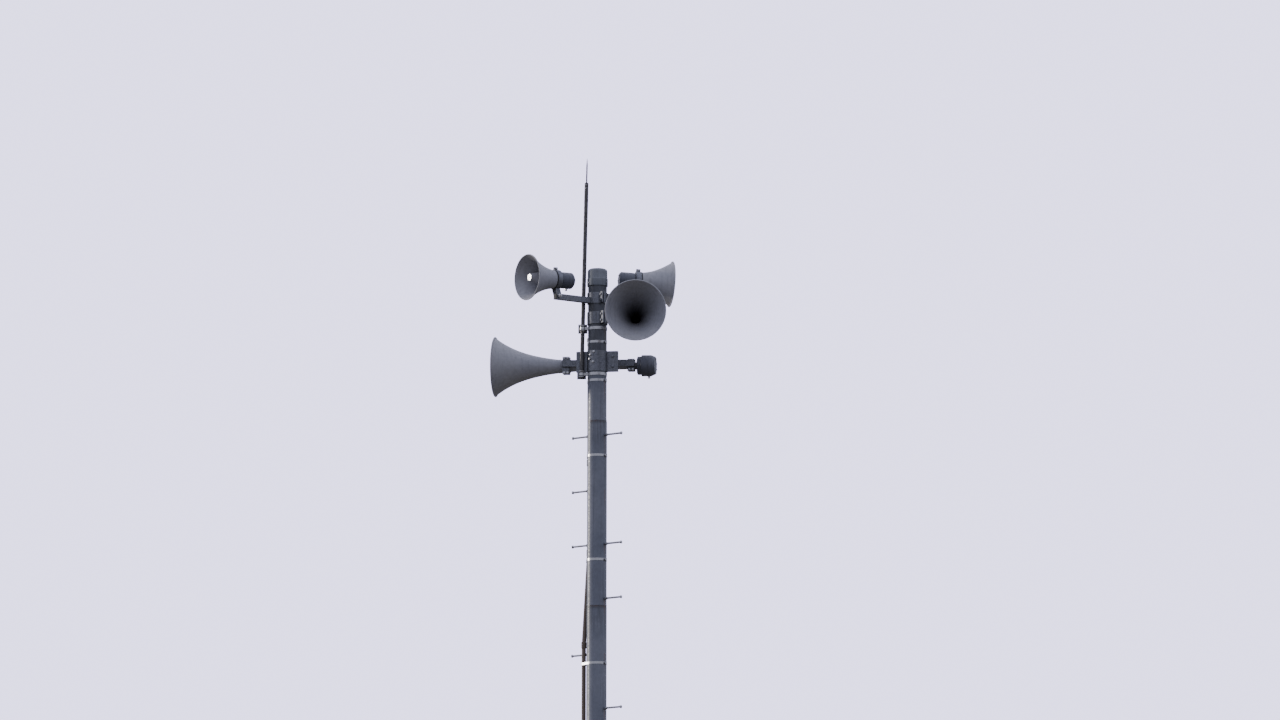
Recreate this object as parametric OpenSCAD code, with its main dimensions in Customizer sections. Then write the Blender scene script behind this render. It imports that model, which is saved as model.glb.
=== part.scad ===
// Civil defense siren tower: a sectional steel mast with two long straight horn loudspeakers,
// two short folded horn loudspeakers, step bolts, a cable conduit and a lightning rod.
// Millimetres, +Z up. The origin is on the mast's axis, on the underside of the base plate.
// The front horn faces -Y, and +X is to the right of someone who looks at the tower from there.

/* [Mast] */
// Height of the cap's top above the underside of the base plate
mast_h = 12500; // [12000:50:13000]
// Outer diameter of the top section
top_section_d = 155; // [146:1:158]
// Outer diameter of the section below it
section_d = 162; // [159:1:168]
// How much wider each lower section is than the one above it
section_growth = 3; // [0:0.5:4]
// Wall thickness of the sections
mast_wall = 4.5; // [3.5:0.5:6]
// Distance from one joint to the next
section_pitch = 1530; // [1450:10:1560]
// Distance from the cap's top down to the first joint
first_joint_drop = 1265; // [1200:5:1290]
// Length of the spigot that each section pushes up into the next
spigot_l = 150; // [80:5:200]
// Height of the lip around the foot of each section
joint_lip_h = 12; // [8:1:20]

/* [Base] */
// Side of the square base plate
base_w = 440; // [400:10:520]
// Thickness of the base plate
base_t = 25; // [20:1:32]
// Distance between neighbouring anchor holes
anchor_spacing = 340; // [310:5:360]
// Diameter of the anchor holes
anchor_d = 33; // [26:1:39]
// Height of the gussets
gusset_h = 200; // [150:5:260]
// Thickness of the gussets
gusset_t = 12; // [8:1:16]

/* [Cap] */
// Height of the rain cap
cap_h = 146; // [120:1:160]
// Height of the wider skirt at its foot
cap_skirt_h = 66; // [50:1:80]
// Wall thickness of the cap
cap_wall = 3.5; // [3:0.5:6]
// How far the skirt stands out from the cap's upper part
cap_skirt_out = 4; // [2:0.5:6]
// Radius of the cap's upper edge
cap_edge_r = 26; // [15:1:35]

/* [Step bolts] */
// Distance from the cap's top down to the highest step bolts
first_step_drop = 1386; // [1340:2:1400]
// Distance between step bolt levels
step_pitch = 450; // [430:5:470]
// Diameter of a step bolt
step_bolt_d = 16; // [14:1:20]
// Length of a step bolt outside its boss
step_bolt_l = 158; // [140:2:180]
// Angle of the step bolts, turned clockwise from the X axis as seen from above
step_yaw = 37; // [30:1:45]
// Number of step bolt levels
step_levels = 20; // [12:1:20]

/* [Conduit] */
// Outer diameter of the cable conduit
conduit_d = 36; // [30:1:40]
// Height of the conduit's upper end below the cap's top
conduit_top_drop = 560; // [540:5:580]
// Height of the stainless bands
band_h = 20; // [16:1:25]
// Thickness of the stainless bands
band_t = 1.5; // [1:0.25:2]

/* [Lightning rod] */
// Outer diameter of the rod's support pipe
rod_pipe_d = 34; // [27:1:36]
// Wall thickness of the support pipe
rod_pipe_wall = 2.5; // [2:0.5:4]
// Length of the support pipe
rod_pipe_l = 1570; // [1500:5:1650]
// Lean of the pipe towards the mast, in degrees
rod_lean = 1.3; // [0.8:0.1:1.4]
// Length of the pointed rod above its holder
rod_needle_l = 200; // [150:5:260]

/* [Long horns] */
// Outer radius of the mouth
long_mouth_r = 246; // [235:1:260]
// Outer radius that the horn narrows towards
long_throat_r = 25; // [22:0.5:28]
// Length over which the flare narrows by a factor of e
long_flare_l = 276; // [250:2:290]
// Wall thickness of the horns
horn_wall = 3; // [2.5:0.5:4]
// Distance from the mouth to the tilt pivot
long_mouth_x = 905; // [880:5:920]
// Distance from the mast's axis to the long horn's axis
long_offset = 313; // [300:1:330]
// Radius of the long horn's driver
long_driver_r = 88; // [80:1:92]
// Length of the long horn's driver
long_driver_l = 156; // [145:1:170]
// Distance from the cradle's rear end to the driver
driver_gap = 10; // [5:1:20]
// Length of the cradle's channel
cradle_l = 604; // [580:2:620]
// Distance from the tilt pivot forwards to the middle of the cradle
cradle_forward = 30; // [10:1:40]
// Height of the cradle's channel
cradle_h = 54; // [50:1:60]
// Down-tilt of the front horn, in degrees
front_tilt = 4; // [0:0.5:8]
// Down-tilt of the rear horn, in degrees
rear_tilt = -0.8; // [-2:0.1:4]
// Turn of the rear horn away from straight left, in degrees
rear_turn = 8.5; // [0:0.5:15]

/* [Short horns] */
// Outer radius of the mouth
short_mouth_r = 187; // [178:1:196]
// Outer radius of the neck
short_neck_r = 76; // [73:1:79]
// Length of the flare
short_flare_l = 268; // [255:1:270]
// Largest outer radius of the bullet in the middle of the horn
bullet_r = 58; // [50:1:62]
// Radius of the bullet's round nose cap
nose_r = 30; // [26:1:34]
// Radius of the driver
short_driver_r = 67; // [61:1:71]
// Length of the driver
short_driver_l = 130; // [115:1:140]
// Down-tilt of the left horn, in degrees
left_tilt = 1.5; // [0:0.5:4]
// Down-tilt of the right horn, in degrees
right_tilt = 3; // [0:0.5:6]
// Distance from the mast's axis to the left horn's pivot
left_reach = 390; // [380:1:410]
// Distance from the mast's axis to the right horn's pivot
right_reach = 311; // [300:1:330]

/* [Hidden] */

$fn = 96;
// Cuts run past a surface by this much
over = 1;
// Gap between pieces that seat on a round surface
seat_gap = 0.3;
// Radial clearance of a pivot bolt in its hole
pin_gap = 0.08;
// Radial gap between a spigot and the section over it
spigot_gap = 0.4;

section_count = 8;
joint_lip_out = 1.5;
joint_groove = 2;
joint_groove_h = 5;

boss_d = 26;
boss_l = 14;
step_head_d = 26;
step_head_t = 9;
step_collar_d = 24;
step_collar_t = 8;

// Azimuth and distance of the conduit, low on the mast and behind its head
conduit_low_az = 161.5;
conduit_high_az = 125.5;
conduit_low_z = step_z(4) + 75;
conduit_high_z = step_z(2) - 60;
coupling_r = conduit_d / 2 + 4;
coupling_h = 50;
conduit_cap_h = 34;
conduit_play = 1.2;
belt_steps = 48;
// Drops of the bands near the head, and how far the others are below their step bolts
head_band_drops = [614, 932];
upper_band_drops = [169, 129];
band_below_step = 80;
lowest_band_z = base_t + 2 * gusset_h;

rod_foot_drop = 915;
rod_foot_x = -129;
rod_foot_y = -20;
rod_holder_r = 16.5;
rod_holder_h = 66;
rod_needle_r = 6;
rod_strap_t = 3;
rod_eye_t = 6;
rod_plate_w = 30;
rod_bracket_h = 24;
rod_bracket_drops = [500, 880];

clamp_t = 7;
clamp_split = 8;
ear_t = 10;
ear_l = 52;
rear_ear_l = 88;
ear_bolt_d = 14;

arm_w = 46;
arm_h = 46;
arm_wall = 5;
short_arm_drop = 270;
short_clamp_h = 90;
right_arm_lift = 40;
left_heading = 214;
right_heading = 10.7;
short_split_az = (left_heading - 180 + right_heading) / 2;

front_heading = -90;
rear_heading = 180 - rear_turn;
front_pivot_drop = 424;
rear_pivot_drop = 743;
front_clamp_lift = 9;
rear_clamp_lift = -30;
front_clamp_z = mast_h - front_pivot_drop + front_clamp_lift;
rear_clamp_z = mast_h - rear_pivot_drop + rear_clamp_lift;
front_clamp_h = 100;
rear_clamp_h = 170;
front_clamp_reach = 65;

pivot_bolt_d = 16;
pivot_head_r = 14;
pivot_head_t = 10;
flange_r = 46;
flange_t = 8;

channel_t = 4;
channel_depth = 26;
channel_gap = 0.5;
long_axis_y = 84;
long_axis_z = -13;
saddle_w = 58;
saddle_lug = 22;
saddle_plate_t = 8;
saddle_inset = 2;
saddle_out = cradle_l / 2 - saddle_w / 2 - saddle_inset;
saddle_xs = [cradle_forward - saddle_out, cradle_forward + saddle_out];
// Length of a long horn from its mouth to its driver
long_horn_l = long_mouth_x - cradle_forward + cradle_l / 2 + driver_gap;
flare_split = 540;
flare_steps = 26;
rim_r = 5;

short_arm_to_pivot = 4;
strap_x = 17;
strap_z = 136;
strap_w = 42;
strap_t = 5;
short_mouth_x = 300;
neck_end = 305;
short_power = 1.77;
short_steps = 18;
bullet_nose_d = 27;
bullet_end_d = 222;
throat_r = 20;
throat_wall = 3;
throat_tip_d = 78;
driver_front_d = 310;
cheek_t = 6;

steel = [0.62, 0.64, 0.68];
horn_grey = [0.66, 0.68, 0.74];
dark_steel = [0.33, 0.35, 0.40];
stainless = [0.80, 0.80, 0.82];
conduit_brown = [0.26, 0.20, 0.18];

// Height of joint i, counted from the lowest
function joint_z(i) = mast_h - first_joint_drop - (section_count - 1 - i) * section_pitch;
// Outer radius of section i, counted from the base
function section_r(i) = i == section_count ? top_section_d / 2
    : (section_d + (section_count - 1 - i) * section_growth) / 2;
// The section that is at height z
function section_at(z) = 1 + len([for (i = [1 : section_count - 1]) if (z >= joint_z(i)) i]);
function mast_r(z) = section_r(section_at(z));
mast_top_z = mast_h - cap_wall - 6;
head_r = top_section_d / 2;
conduit_dist = section_r(1) + joint_lip_out + conduit_d / 2 + seat_gap;

// Outer radius of a long horn at distance d behind its mouth
function long_r(d) = long_throat_r + (long_mouth_r - long_throat_r) * exp(-d / long_flare_l);
// Outer radius of a short horn at distance d behind its mouth
function short_r(d) = d >= short_flare_l ? short_neck_r
    : short_neck_r + (short_mouth_r - short_neck_r) * pow(1 - d / short_flare_l, short_power);
// Outer radius of the bullet at distance d behind the mouth
function bullet_profile(d) = nose_r + (bullet_r - nose_r)
    * sin(90 * (d - bullet_nose_d) / (bullet_end_d - bullet_nose_d));

function polar(r, a) = [r * cos(a), r * sin(a)];
// Points along an arc round c, in n steps
function arc(c, r, a0, a1, n) = [for (i = [0 : n]) let (a = a0 + (a1 - a0) * i / n) c + polar(r, a)];

// A tube between two heights
module tube(outer_r, inner_r, z0, z1) {
    translate([0, 0, z0])
        difference() {
            cylinder(r = outer_r, h = z1 - z0);
            translate([0, 0, -over]) cylinder(r = inner_r, h = z1 - z0 + 2 * over);
        }
}

// Puts a child on the mast, facing a heading, with its pivot at a distance and height
module mast_frame(heading, z) translate([0, 0, z]) rotate([0, 0, heading]) children();

module short_frame(heading, reach, z, tilt) {
    mast_frame(heading, z) translate([reach, 0, 0]) rotate([0, tilt, 0]) children();
}

// side is 1 where the horn lies to the left of its heading, and -1 to the right
module long_frame(heading, side, z, tilt) {
    mast_frame(heading, z)
        mirror([0, side < 0 ? 1 : 0, 0])
            translate([0, long_offset - long_axis_y, 0]) rotate([0, tilt, 0]) children();
}

module at_left() short_frame(left_heading, left_reach, left_pivot_z, left_tilt) children();
module at_right() short_frame(right_heading, right_reach, right_pivot_z, right_tilt) children();
module at_front() long_frame(front_heading, 1, front_pivot_z, front_tilt) children();
module at_rear() long_frame(rear_heading, -1, rear_pivot_z, rear_tilt) children();

left_arm_z = mast_h - short_arm_drop;
right_arm_z = left_arm_z + right_arm_lift;
left_pivot_z = left_arm_z + short_arm_to_pivot;
right_pivot_z = right_arm_z + short_arm_to_pivot;
front_pivot_z = mast_h - front_pivot_drop;
rear_pivot_z = mast_h - rear_pivot_drop;

// Base

module base_plate() {
    corner = 30;
    color(steel)
        difference() {
            linear_extrude(base_t) {
                square([base_w, base_w - 2 * corner], center = true);
                square([base_w - 2 * corner, base_w], center = true);
                for (x = [-1, 1], y = [-1, 1])
                    translate([x * (base_w / 2 - corner), y * (base_w / 2 - corner)]) circle(r = corner);
            }
            for (x = [-1, 1], y = [-1, 1])
                translate([x * anchor_spacing / 2, y * anchor_spacing / 2, -over])
                    cylinder(d = anchor_d, h = base_t + 2 * over);
            translate([0, 0, -over]) cylinder(r = section_r(1) - mast_wall, h = base_t + 2 * over);
        }
}

module base_gussets() {
    inner = section_r(1) + seat_gap;
    outer = base_w / 2 - 12;
    toe = 20;
    color(steel)
        for (a = [0, 90, 180, 270])
            rotate([0, 0, a])
                translate([0, gusset_t / 2, base_t])
                    rotate([90, 0, 0])
                        linear_extrude(gusset_t)
                            polygon([[inner, 0], [outer, 0], [outer, toe], [inner + toe, gusset_h],
                                     [inner, gusset_h]]);
}

// Mast

// A section stands on the shoulder below it. Its lip closes over the joint, and its own
// spigot reaches up into the section above.
module mast_section(i) {
    foot_z = i == 1 ? base_t : joint_z(i - 1);
    head_z = i == section_count ? mast_top_z : joint_z(i);
    r = section_r(i);
    bore_r = r - mast_wall;
    spigot_r = section_r(i + 1) - mast_wall - spigot_gap;
    color(steel)
        difference() {
            union() {
                tube(r, bore_r, foot_z, head_z);
                if (i > 1)
                    tube(r + joint_lip_out, r - over, foot_z, foot_z + joint_lip_h);
                if (i < section_count) {
                    tube(spigot_r, spigot_r - mast_wall, head_z - spigot_l / 2, head_z + spigot_l);
                    tube(bore_r + over, spigot_r - over, head_z - spigot_l / 2, head_z - spigot_l / 2 + 10);
                }
                for (s = steps_of(i))
                    step_frame(s) translate([0, 0, bore_r + over])
                        cylinder(d = boss_d, h = step_boss_end(i) - bore_r - over);
            }
            if (i < section_count)
                tube(r + over, r - joint_groove, head_z - joint_groove_h, head_z + over);
            for (s = steps_of(i))
                step_frame(s) translate([0, 0, bore_r - over])
                    cylinder(d = step_bolt_d + 2 * seat_gap, h = boss_l + mast_wall + 3 * over);
        }
}

module mast_cap() {
    inner_r = head_r + seat_gap;
    upper_r = inner_r + cap_wall;
    skirt_r = upper_r + cap_skirt_out;
    foot_z = mast_h - cap_h;
    skirt_z = foot_z + cap_skirt_h;
    skirt_edge = 10;
    color(steel)
        difference() {
            rotate_extrude()
                polygon(concat(
                    [[0, foot_z], [skirt_r - skirt_edge / 2, foot_z], [skirt_r, foot_z + skirt_edge],
                     [skirt_r, skirt_z - skirt_edge], [upper_r, skirt_z]],
                    arc([upper_r - cap_edge_r, mast_h - cap_edge_r], cap_edge_r, 0, 90, 8),
                    [[0, mast_h]]));
            translate([0, 0, foot_z - over])
                cylinder(r = inner_r, h = mast_top_z - foot_z + over + seat_gap);
        }
}

// Step bolts

// Side of each level: 0 has both, 1 has the left one, and 2 has the right one
function step_sides(k) = k == 0 || k == 2 ? 0 : (k == 1 || k % 2 == 0 ? 1 : 2);
function step_z(k) = mast_h - first_step_drop - k * step_pitch;
steps = [for (k = [0 : step_levels - 1], side = [1, 2])
         if (step_sides(k) == 0 || step_sides(k) == side) [k, side]];
function steps_of(i) = [for (s = steps) if (section_at(step_z(s[0])) == i) s];
function step_boss_end(i) = section_r(i) + boss_l;

// Turns +Z to run out along the bolt
module step_frame(s) {
    translate([0, 0, step_z(s[0])])
        rotate([0, 0, (s[1] == 1 ? 180 : 0) - step_yaw])
            rotate([0, 90, 0]) children();
}

module step_bolts() {
    color(stainless)
        for (s = steps) {
            i = section_at(step_z(s[0]));
            out = step_boss_end(i);
            step_frame(s) {
                translate([0, 0, section_r(i) - mast_wall])
                    cylinder(d = step_bolt_d, h = out + step_bolt_l - section_r(i) + mast_wall);
                translate([0, 0, out]) cylinder(d = step_collar_d, h = step_collar_t);
                translate([0, 0, out + step_bolt_l - step_head_t]) cylinder(d = step_head_d, h = step_head_t);
            }
        }
}

// Conduit

conduit_low = polar(conduit_dist, conduit_low_az);
conduit_high = polar(conduit_dist, conduit_high_az);
// Centre of the conduit at height z
function conduit_at(z) = z <= conduit_low_z ? conduit_low : z >= conduit_high_z ? conduit_high
    : conduit_low + (conduit_high - conduit_low) * (z - conduit_low_z) / (conduit_high_z - conduit_low_z);

// A coupling hides each of the two slight bends, and the pipes end a little way inside it
module conduit() {
    top_z = mast_h - conduit_top_drop;
    slant = concat(conduit_high - conduit_low, [conduit_high_z - conduit_low_z]);
    inset = coupling_h / 4;
    // Keeps the slanted pipe's seam away from its steepest line
    seam_turn = 90;
    color(conduit_brown) {
        translate(concat(conduit_low, [base_t])) cylinder(d = conduit_d, h = conduit_low_z - inset - base_t);
        translate(concat(conduit_low, [conduit_low_z]))
            rotate([0, acos(slant[2] / norm(slant)), atan2(slant[1], slant[0])])
                translate([0, 0, inset])
                    rotate(seam_turn) cylinder(d = conduit_d, h = norm(slant) - 2 * inset);
        translate(concat(conduit_high, [conduit_high_z + inset]))
            cylinder(d = conduit_d, h = top_z - conduit_high_z - 2 * inset);
        for (p = [concat(conduit_low, [conduit_low_z]), concat(conduit_high, [conduit_high_z])])
            translate(p) cylinder(r = coupling_r, h = coupling_h, center = true);
        translate(concat(conduit_high, [top_z - conduit_cap_h]))
            rotate_extrude()
                polygon([[0, 0], [coupling_r, 0], [coupling_r, conduit_cap_h - 8],
                         [coupling_r - 7, conduit_cap_h], [0, conduit_cap_h]]);
    }
}

// Outline of a belt round two circles: r1 at the origin and r2 at c
function belt(r1, r2, c) =
    let (a = atan2(c[1], c[0]), b = acos((r1 - r2) / norm(c)))
        concat(arc([0, 0], r1, a + b, a + 360 - b, belt_steps),
               arc(c, r2, a - b, a + b, belt_steps / 4));

// Heights of the bands: four near the head, then one under every other step bolt level
band_zs = concat([for (drop = head_band_drops) mast_h - drop],
                 [for (i = [0, 1]) step_z(2 * i) - upper_band_drops[i]],
                 [for (k = [4 : 2 : 40]) let (z = step_z(k) - band_below_step) if (z > lowest_band_z) z]);

module conduit_bands() {
    color(stainless)
        for (z = band_zs) {
            r1 = mast_r(z) + seat_gap;
            r2 = conduit_d / 2 + conduit_play;
            translate([0, 0, z - band_h / 2])
                linear_extrude(band_h)
                    difference() {
                        polygon(belt(r1 + band_t, r2 + band_t, conduit_at(z)));
                        polygon(belt(r1, r2, conduit_at(z)));
                    }
        }
}

// Lightning rod

// The pipe's own frame: the origin at its foot and +Z along it
module rod_frame() {
    translate([rod_foot_x, rod_foot_y, mast_h - rod_foot_drop]) rotate([0, rod_lean, 0]) children();
}

module rod_pipe() {
    color(steel) rod_frame() tube(rod_pipe_d / 2, rod_pipe_d / 2 - rod_pipe_wall, 0, rod_pipe_l);
}

module rod_needle() {
    tip_l = 60;
    tip_r = 1.5;
    collar = 8;
    color(stainless)
        rod_frame()
            translate([0, 0, rod_pipe_l])
                rotate_extrude()
                    polygon([[0, 0], [rod_holder_r - 2, 0], [rod_holder_r, 2],
                             [rod_holder_r, rod_holder_h - collar],
                             [rod_holder_r - collar, rod_holder_h], [rod_needle_r, rod_holder_h],
                             [rod_needle_r, rod_holder_h + rod_needle_l - tip_l],
                             [tip_r, rod_holder_h + rod_needle_l], [0, rod_holder_h + rod_needle_l]]);
}

// Each bracket straps round the mast and holds the pipe in an eye on a stand-off block
module rod_brackets() {
    color(stainless)
        for (drop = rod_bracket_drops) {
            z = mast_h - drop;
            up = (z - (mast_h - rod_foot_drop)) / cos(rod_lean);
            eye = [rod_foot_x + up * sin(rod_lean), rod_foot_y];
            strap_r = head_r + seat_gap;
            difference() {
                translate([0, 0, z - rod_bracket_h / 2])
                    linear_extrude(rod_bracket_h)
                        difference() {
                            union() {
                                circle(r = strap_r + rod_strap_t);
                                rotate([0, 0, atan2(eye[1], eye[0])])
                                    translate([0, -rod_plate_w / 2]) square([norm(eye), rod_plate_w]);
                                translate(eye) circle(r = rod_pipe_d / 2 + rod_eye_t);
                            }
                            circle(r = strap_r);
                        }
                rod_frame() translate([0, 0, -over]) cylinder(r = rod_pipe_d / 2 + seat_gap, h = rod_pipe_l);
            }
        }
}

// Mast clamps and arms

// One part of a mast clamp: a shell that spans reach degrees to either side of +X, with an
// ear at each end. The part that closes it spans 180 - reach degrees from the other side.
module clamp_part(h, reach, ear_l) {
    inner_r = head_r + seat_gap;
    outer_r = inner_r + clamp_t;
    far = 3 * outer_r;
    // The shell ends in the middle of its ear
    shell_end = reach - asin((clamp_split + ear_t) / 2 / outer_r);
    difference() {
        translate([0, 0, -h / 2])
            linear_extrude(h) {
                difference() {
                    circle(r = outer_r);
                    circle(r = inner_r);
                    polygon([[0, 0], polar(far, shell_end), polar(far, (shell_end + 180) / 2),
                             polar(far, 180), polar(far, -(shell_end + 180) / 2), polar(far, -shell_end)]);
                }
                for (s = [-1, 1])
                    rotate(s * reach)
                        translate([inner_r + over, s > 0 ? -ear_t - clamp_split / 2 : clamp_split / 2])
                            square([clamp_t + ear_l - over, ear_t]);
            }
        for (s = [-1, 1], v = [-1, 1])
            rotate([0, 0, s * reach])
                translate([outer_r + ear_l / 2, 0, v * h / 4])
                    rotate([90, 0, 0]) cylinder(d = ear_bolt_d, h = 2 * (clamp_split + ear_t), center = true);
    }
}

// A square tube along +X from the clamp's shell to a length
module arm_tube(length) {
    start = head_r + seat_gap + over;
    difference() {
        translate([start, -arm_w / 2, -arm_h / 2]) cube([length - start, arm_w, arm_h]);
        translate([0, -arm_w / 2 + arm_wall, -arm_h / 2 + arm_wall])
            cube([length + over, arm_w - 2 * arm_wall, arm_h - 2 * arm_wall]);
        cylinder(r = head_r + seat_gap, h = 2 * arm_h, center = true);
    }
}

module short_arm(heading, arm_z, reach, split_az) {
    end = reach + pivot_head_r + 10;
    clamp_z = left_arm_z + right_arm_lift / 2;
    color(steel)
        difference() {
            union() {
                mast_frame(split_az, clamp_z) clamp_part(short_clamp_h, 90, ear_l);
                mast_frame(heading, arm_z) arm_tube(end);
            }
            mast_frame(heading, arm_z)
                translate([reach, 0, short_arm_to_pivot])
                    rotate([90, 0, 0])
                        cylinder(r = pivot_bolt_d / 2 + pin_gap, h = arm_w + 2 * over, center = true);
        }
}

module left_arm() short_arm(left_heading, left_arm_z, left_reach, short_split_az + 180);
module right_arm() short_arm(right_heading, right_arm_z, right_reach, short_split_az);

// The arm of a long horn, with a round flange at its end that the cradle turns against
module long_arm(heading, side, clamp_z, clamp_h, clamp_reach, clamp_ear, pivot_z) {
    end = long_offset - long_axis_y;
    out = side > 0 ? heading + 90 : heading - 90;
    color(steel)
        difference() {
            union() {
                mast_frame(out, clamp_z) clamp_part(clamp_h, clamp_reach, clamp_ear);
                mast_frame(out, pivot_z) {
                    arm_tube(end - over);
                    translate([end - flange_t, 0, 0]) rotate([0, 90, 0]) cylinder(r = flange_r, h = flange_t);
                }
            }
            mast_frame(out, pivot_z)
                translate([end - flange_t - over, 0, 0])
                    rotate([0, 90, 0]) cylinder(r = pivot_bolt_d / 2 + pin_gap, h = flange_t + 2 * over);
        }
}

module front_arm() {
    long_arm(front_heading, 1, front_clamp_z, front_clamp_h, front_clamp_reach, ear_l, front_pivot_z);
}
module rear_arm() {
    long_arm(rear_heading, -1, rear_clamp_z, rear_clamp_h, 90, rear_ear_l, rear_pivot_z);
}
module front_clamp() {
    color(steel)
        mast_frame(front_heading - 90, front_clamp_z)
            clamp_part(front_clamp_h, 180 - front_clamp_reach, ear_l);
}
module rear_clamp() {
    color(steel) mast_frame(rear_heading + 90, rear_clamp_z) clamp_part(rear_clamp_h, 90, rear_ear_l);
}

// Pivot bolts, each with a head at one end and a nut at the other
module pivot_bolt(y0, y1) {
    rotate([-90, 0, 0]) {
        translate([0, 0, y0 - pivot_head_t]) cylinder(r = pivot_head_r, h = pivot_head_t, $fn = 6);
        translate([0, 0, y0 - over]) cylinder(d = pivot_bolt_d, h = y1 - y0 + 2 * over);
        translate([0, 0, y1]) cylinder(r = pivot_head_r, h = pivot_head_t, $fn = 6);
    }
}

module pivot_bolts() {
    cheek_out = arm_w / 2 + channel_gap + cheek_t + channel_gap;
    color(stainless) {
        at_left() pivot_bolt(-cheek_out, cheek_out);
        at_right() pivot_bolt(-cheek_out, cheek_out);
        at_front() pivot_bolt(-flange_t, 2 * channel_gap + channel_t);
        at_rear() pivot_bolt(-flange_t, 2 * channel_gap + channel_t);
    }
}

// Short folded horns. Distances d run back from the mouth.

module short_axis() translate([short_mouth_x, 0, strap_z]) rotate([0, -90, 0]) children();

module short_bell() {
    color(horn_grey)
        short_axis()
            rotate_extrude() {
                polygon(concat(
                    [for (i = [0 : short_steps]) let (d = short_flare_l * i / short_steps) [short_r(d), d]],
                    [[short_neck_r, neck_end], [short_neck_r - horn_wall, neck_end]],
                    [for (i = [short_steps : -1 : 0]) let (d = short_flare_l * i / short_steps)
                        [short_r(d) - horn_wall, d]]));
                translate([short_mouth_r - 2, rim_r]) circle(r = rim_r, $fn = 32);
            }
}

// Closes the neck, and carries the sound forwards through the tube in its middle
module short_throat() {
    plate_t = 5;
    // The tube widens over this length where it meets the plate
    cone = 24;
    plate_r = short_neck_r - horn_wall - seat_gap;
    bore_r = throat_r - throat_wall;
    color(dark_steel)
        short_axis()
            rotate_extrude()
                polygon([[bore_r, throat_tip_d], [throat_r, throat_tip_d],
                         [throat_r, neck_end - plate_t - cone], [throat_r + cone, neck_end - plate_t],
                         [plate_r, neck_end - plate_t], [plate_r, neck_end], [bore_r, neck_end]]);
}

module short_bullet() {
    steps_n = 12;
    wall = 2.5;
    hollow_d = bullet_nose_d + 12;
    rib_t = 4;
    rib_d0 = 92;
    rib_d1 = 140;
    color(horn_grey)
        short_axis() {
            rotate_extrude()
                polygon(concat(
                    [[0, bullet_nose_d], [nose_r - 5, bullet_nose_d]],
                    [for (i = [0 : 4])
                        [nose_r - 5 + 5 * sin(90 * i / 4), bullet_nose_d + 5 - 5 * cos(90 * i / 4)]],
                    [for (i = [1 : steps_n])
                        let (d = bullet_nose_d + 5 + (bullet_end_d - bullet_nose_d - 5) * i / steps_n)
                            [bullet_profile(d), d]],
                    [for (i = [steps_n : -1 : 1]) let (d = hollow_d + (bullet_end_d - hollow_d) * i / steps_n)
                        [bullet_profile(d) - wall, d]],
                    [[nose_r - 8, hollow_d], [0, hollow_d]]));
            for (a = [0, 120, 240])
                rotate([0, 0, a])
                    intersection() {
                        translate([throat_r + seat_gap, -rib_t / 2, rib_d0])
                            cube([bullet_r, rib_t, rib_d1 - rib_d0]);
                        cylinder(r = bullet_profile(rib_d0) - wall / 2, h = rib_d1 + over);
                    }
        }
}

module short_driver() {
    bevel = 14;
    collar_r = short_driver_r - 12;
    collar_d = neck_end + seat_gap;
    body_d = driver_front_d + 6;
    back_d = driver_front_d + short_driver_l;
    color(dark_steel)
        short_axis()
            rotate_extrude()
                polygon([[0, collar_d], [collar_r, collar_d], [collar_r, body_d], [short_driver_r, body_d],
                         [short_driver_r, back_d - bevel], [short_driver_r - bevel, back_d], [0, back_d]]);
}

// A band round the neck, with two cheeks that reach down beside the arm
module short_strap() {
    inner_r = short_neck_r + seat_gap;
    outer_r = inner_r + strap_t;
    cheek_y = arm_w / 2 + channel_gap;
    cheek_top = strap_z - short_neck_r;
    strap_x0 = strap_x - strap_w / 2;
    strap_x1 = strap_x + strap_w / 2;
    // The cheeks run up into the band by this much
    cheek_lap = 20;
    color(steel)
        difference() {
            union() {
                translate([strap_x0, 0, strap_z]) rotate([0, 90, 0]) cylinder(r = outer_r, h = strap_w);
                for (s = [-1, 1])
                    translate([0, s > 0 ? cheek_y + cheek_t : -cheek_y, 0])
                        rotate([90, 0, 0])
                            linear_extrude(cheek_t) {
                                circle(r = strap_w / 2);
                                polygon([[-strap_w / 2, 0], [strap_w / 2, 0], [strap_x1, cheek_top],
                                         [strap_x1, cheek_top + cheek_lap], [strap_x0, cheek_top + cheek_lap],
                                         [strap_x0, cheek_top]]);
                            }
            }
            translate([-short_mouth_x, 0, strap_z])
                rotate([0, 90, 0]) cylinder(r = inner_r, h = 2 * short_mouth_x);
            rotate([90, 0, 0]) cylinder(r = pivot_bolt_d / 2 + pin_gap, h = 4 * arm_w, center = true);
        }
}

module left_bell() at_left() short_bell();
module left_throat() at_left() short_throat();
module left_bullet() at_left() short_bullet();
module left_driver() at_left() short_driver();
module left_strap() at_left() short_strap();
module right_bell() at_right() short_bell();
module right_throat() at_right() short_throat();
module right_bullet() at_right() short_bullet();
module right_driver() at_right() short_driver();
module right_strap() at_right() short_strap();

// Long straight horns. Distances d run back from the mouth.

module long_axis() translate([long_mouth_x, long_axis_y, long_axis_z]) rotate([0, -90, 0]) children();

function flare_d(i, d0, d1) = d0 + (d1 - d0) * pow(i / flare_steps, 1.4);

// Outline of the horn's wall between two distances, grown outwards by grow
module long_wall(d0, d1, inner, grow) {
    polygon(concat(
        [for (i = [0 : flare_steps]) let (d = flare_d(i, d0, d1)) [long_r(d) + grow, d]],
        [for (i = [flare_steps : -1 : 0]) let (d = flare_d(i, d0, d1))
            [inner ? long_r(d) - horn_wall : 0, d]]));
}

module long_flare() {
    color(horn_grey)
        long_axis()
            rotate_extrude() {
                long_wall(0, flare_split, true, 0);
                translate([long_mouth_r - 2, rim_r]) circle(r = rim_r, $fn = 32);
            }
}

module long_tube() {
    color(horn_grey) long_axis() rotate_extrude() long_wall(flare_split, long_horn_l, true, 0);
}

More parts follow.
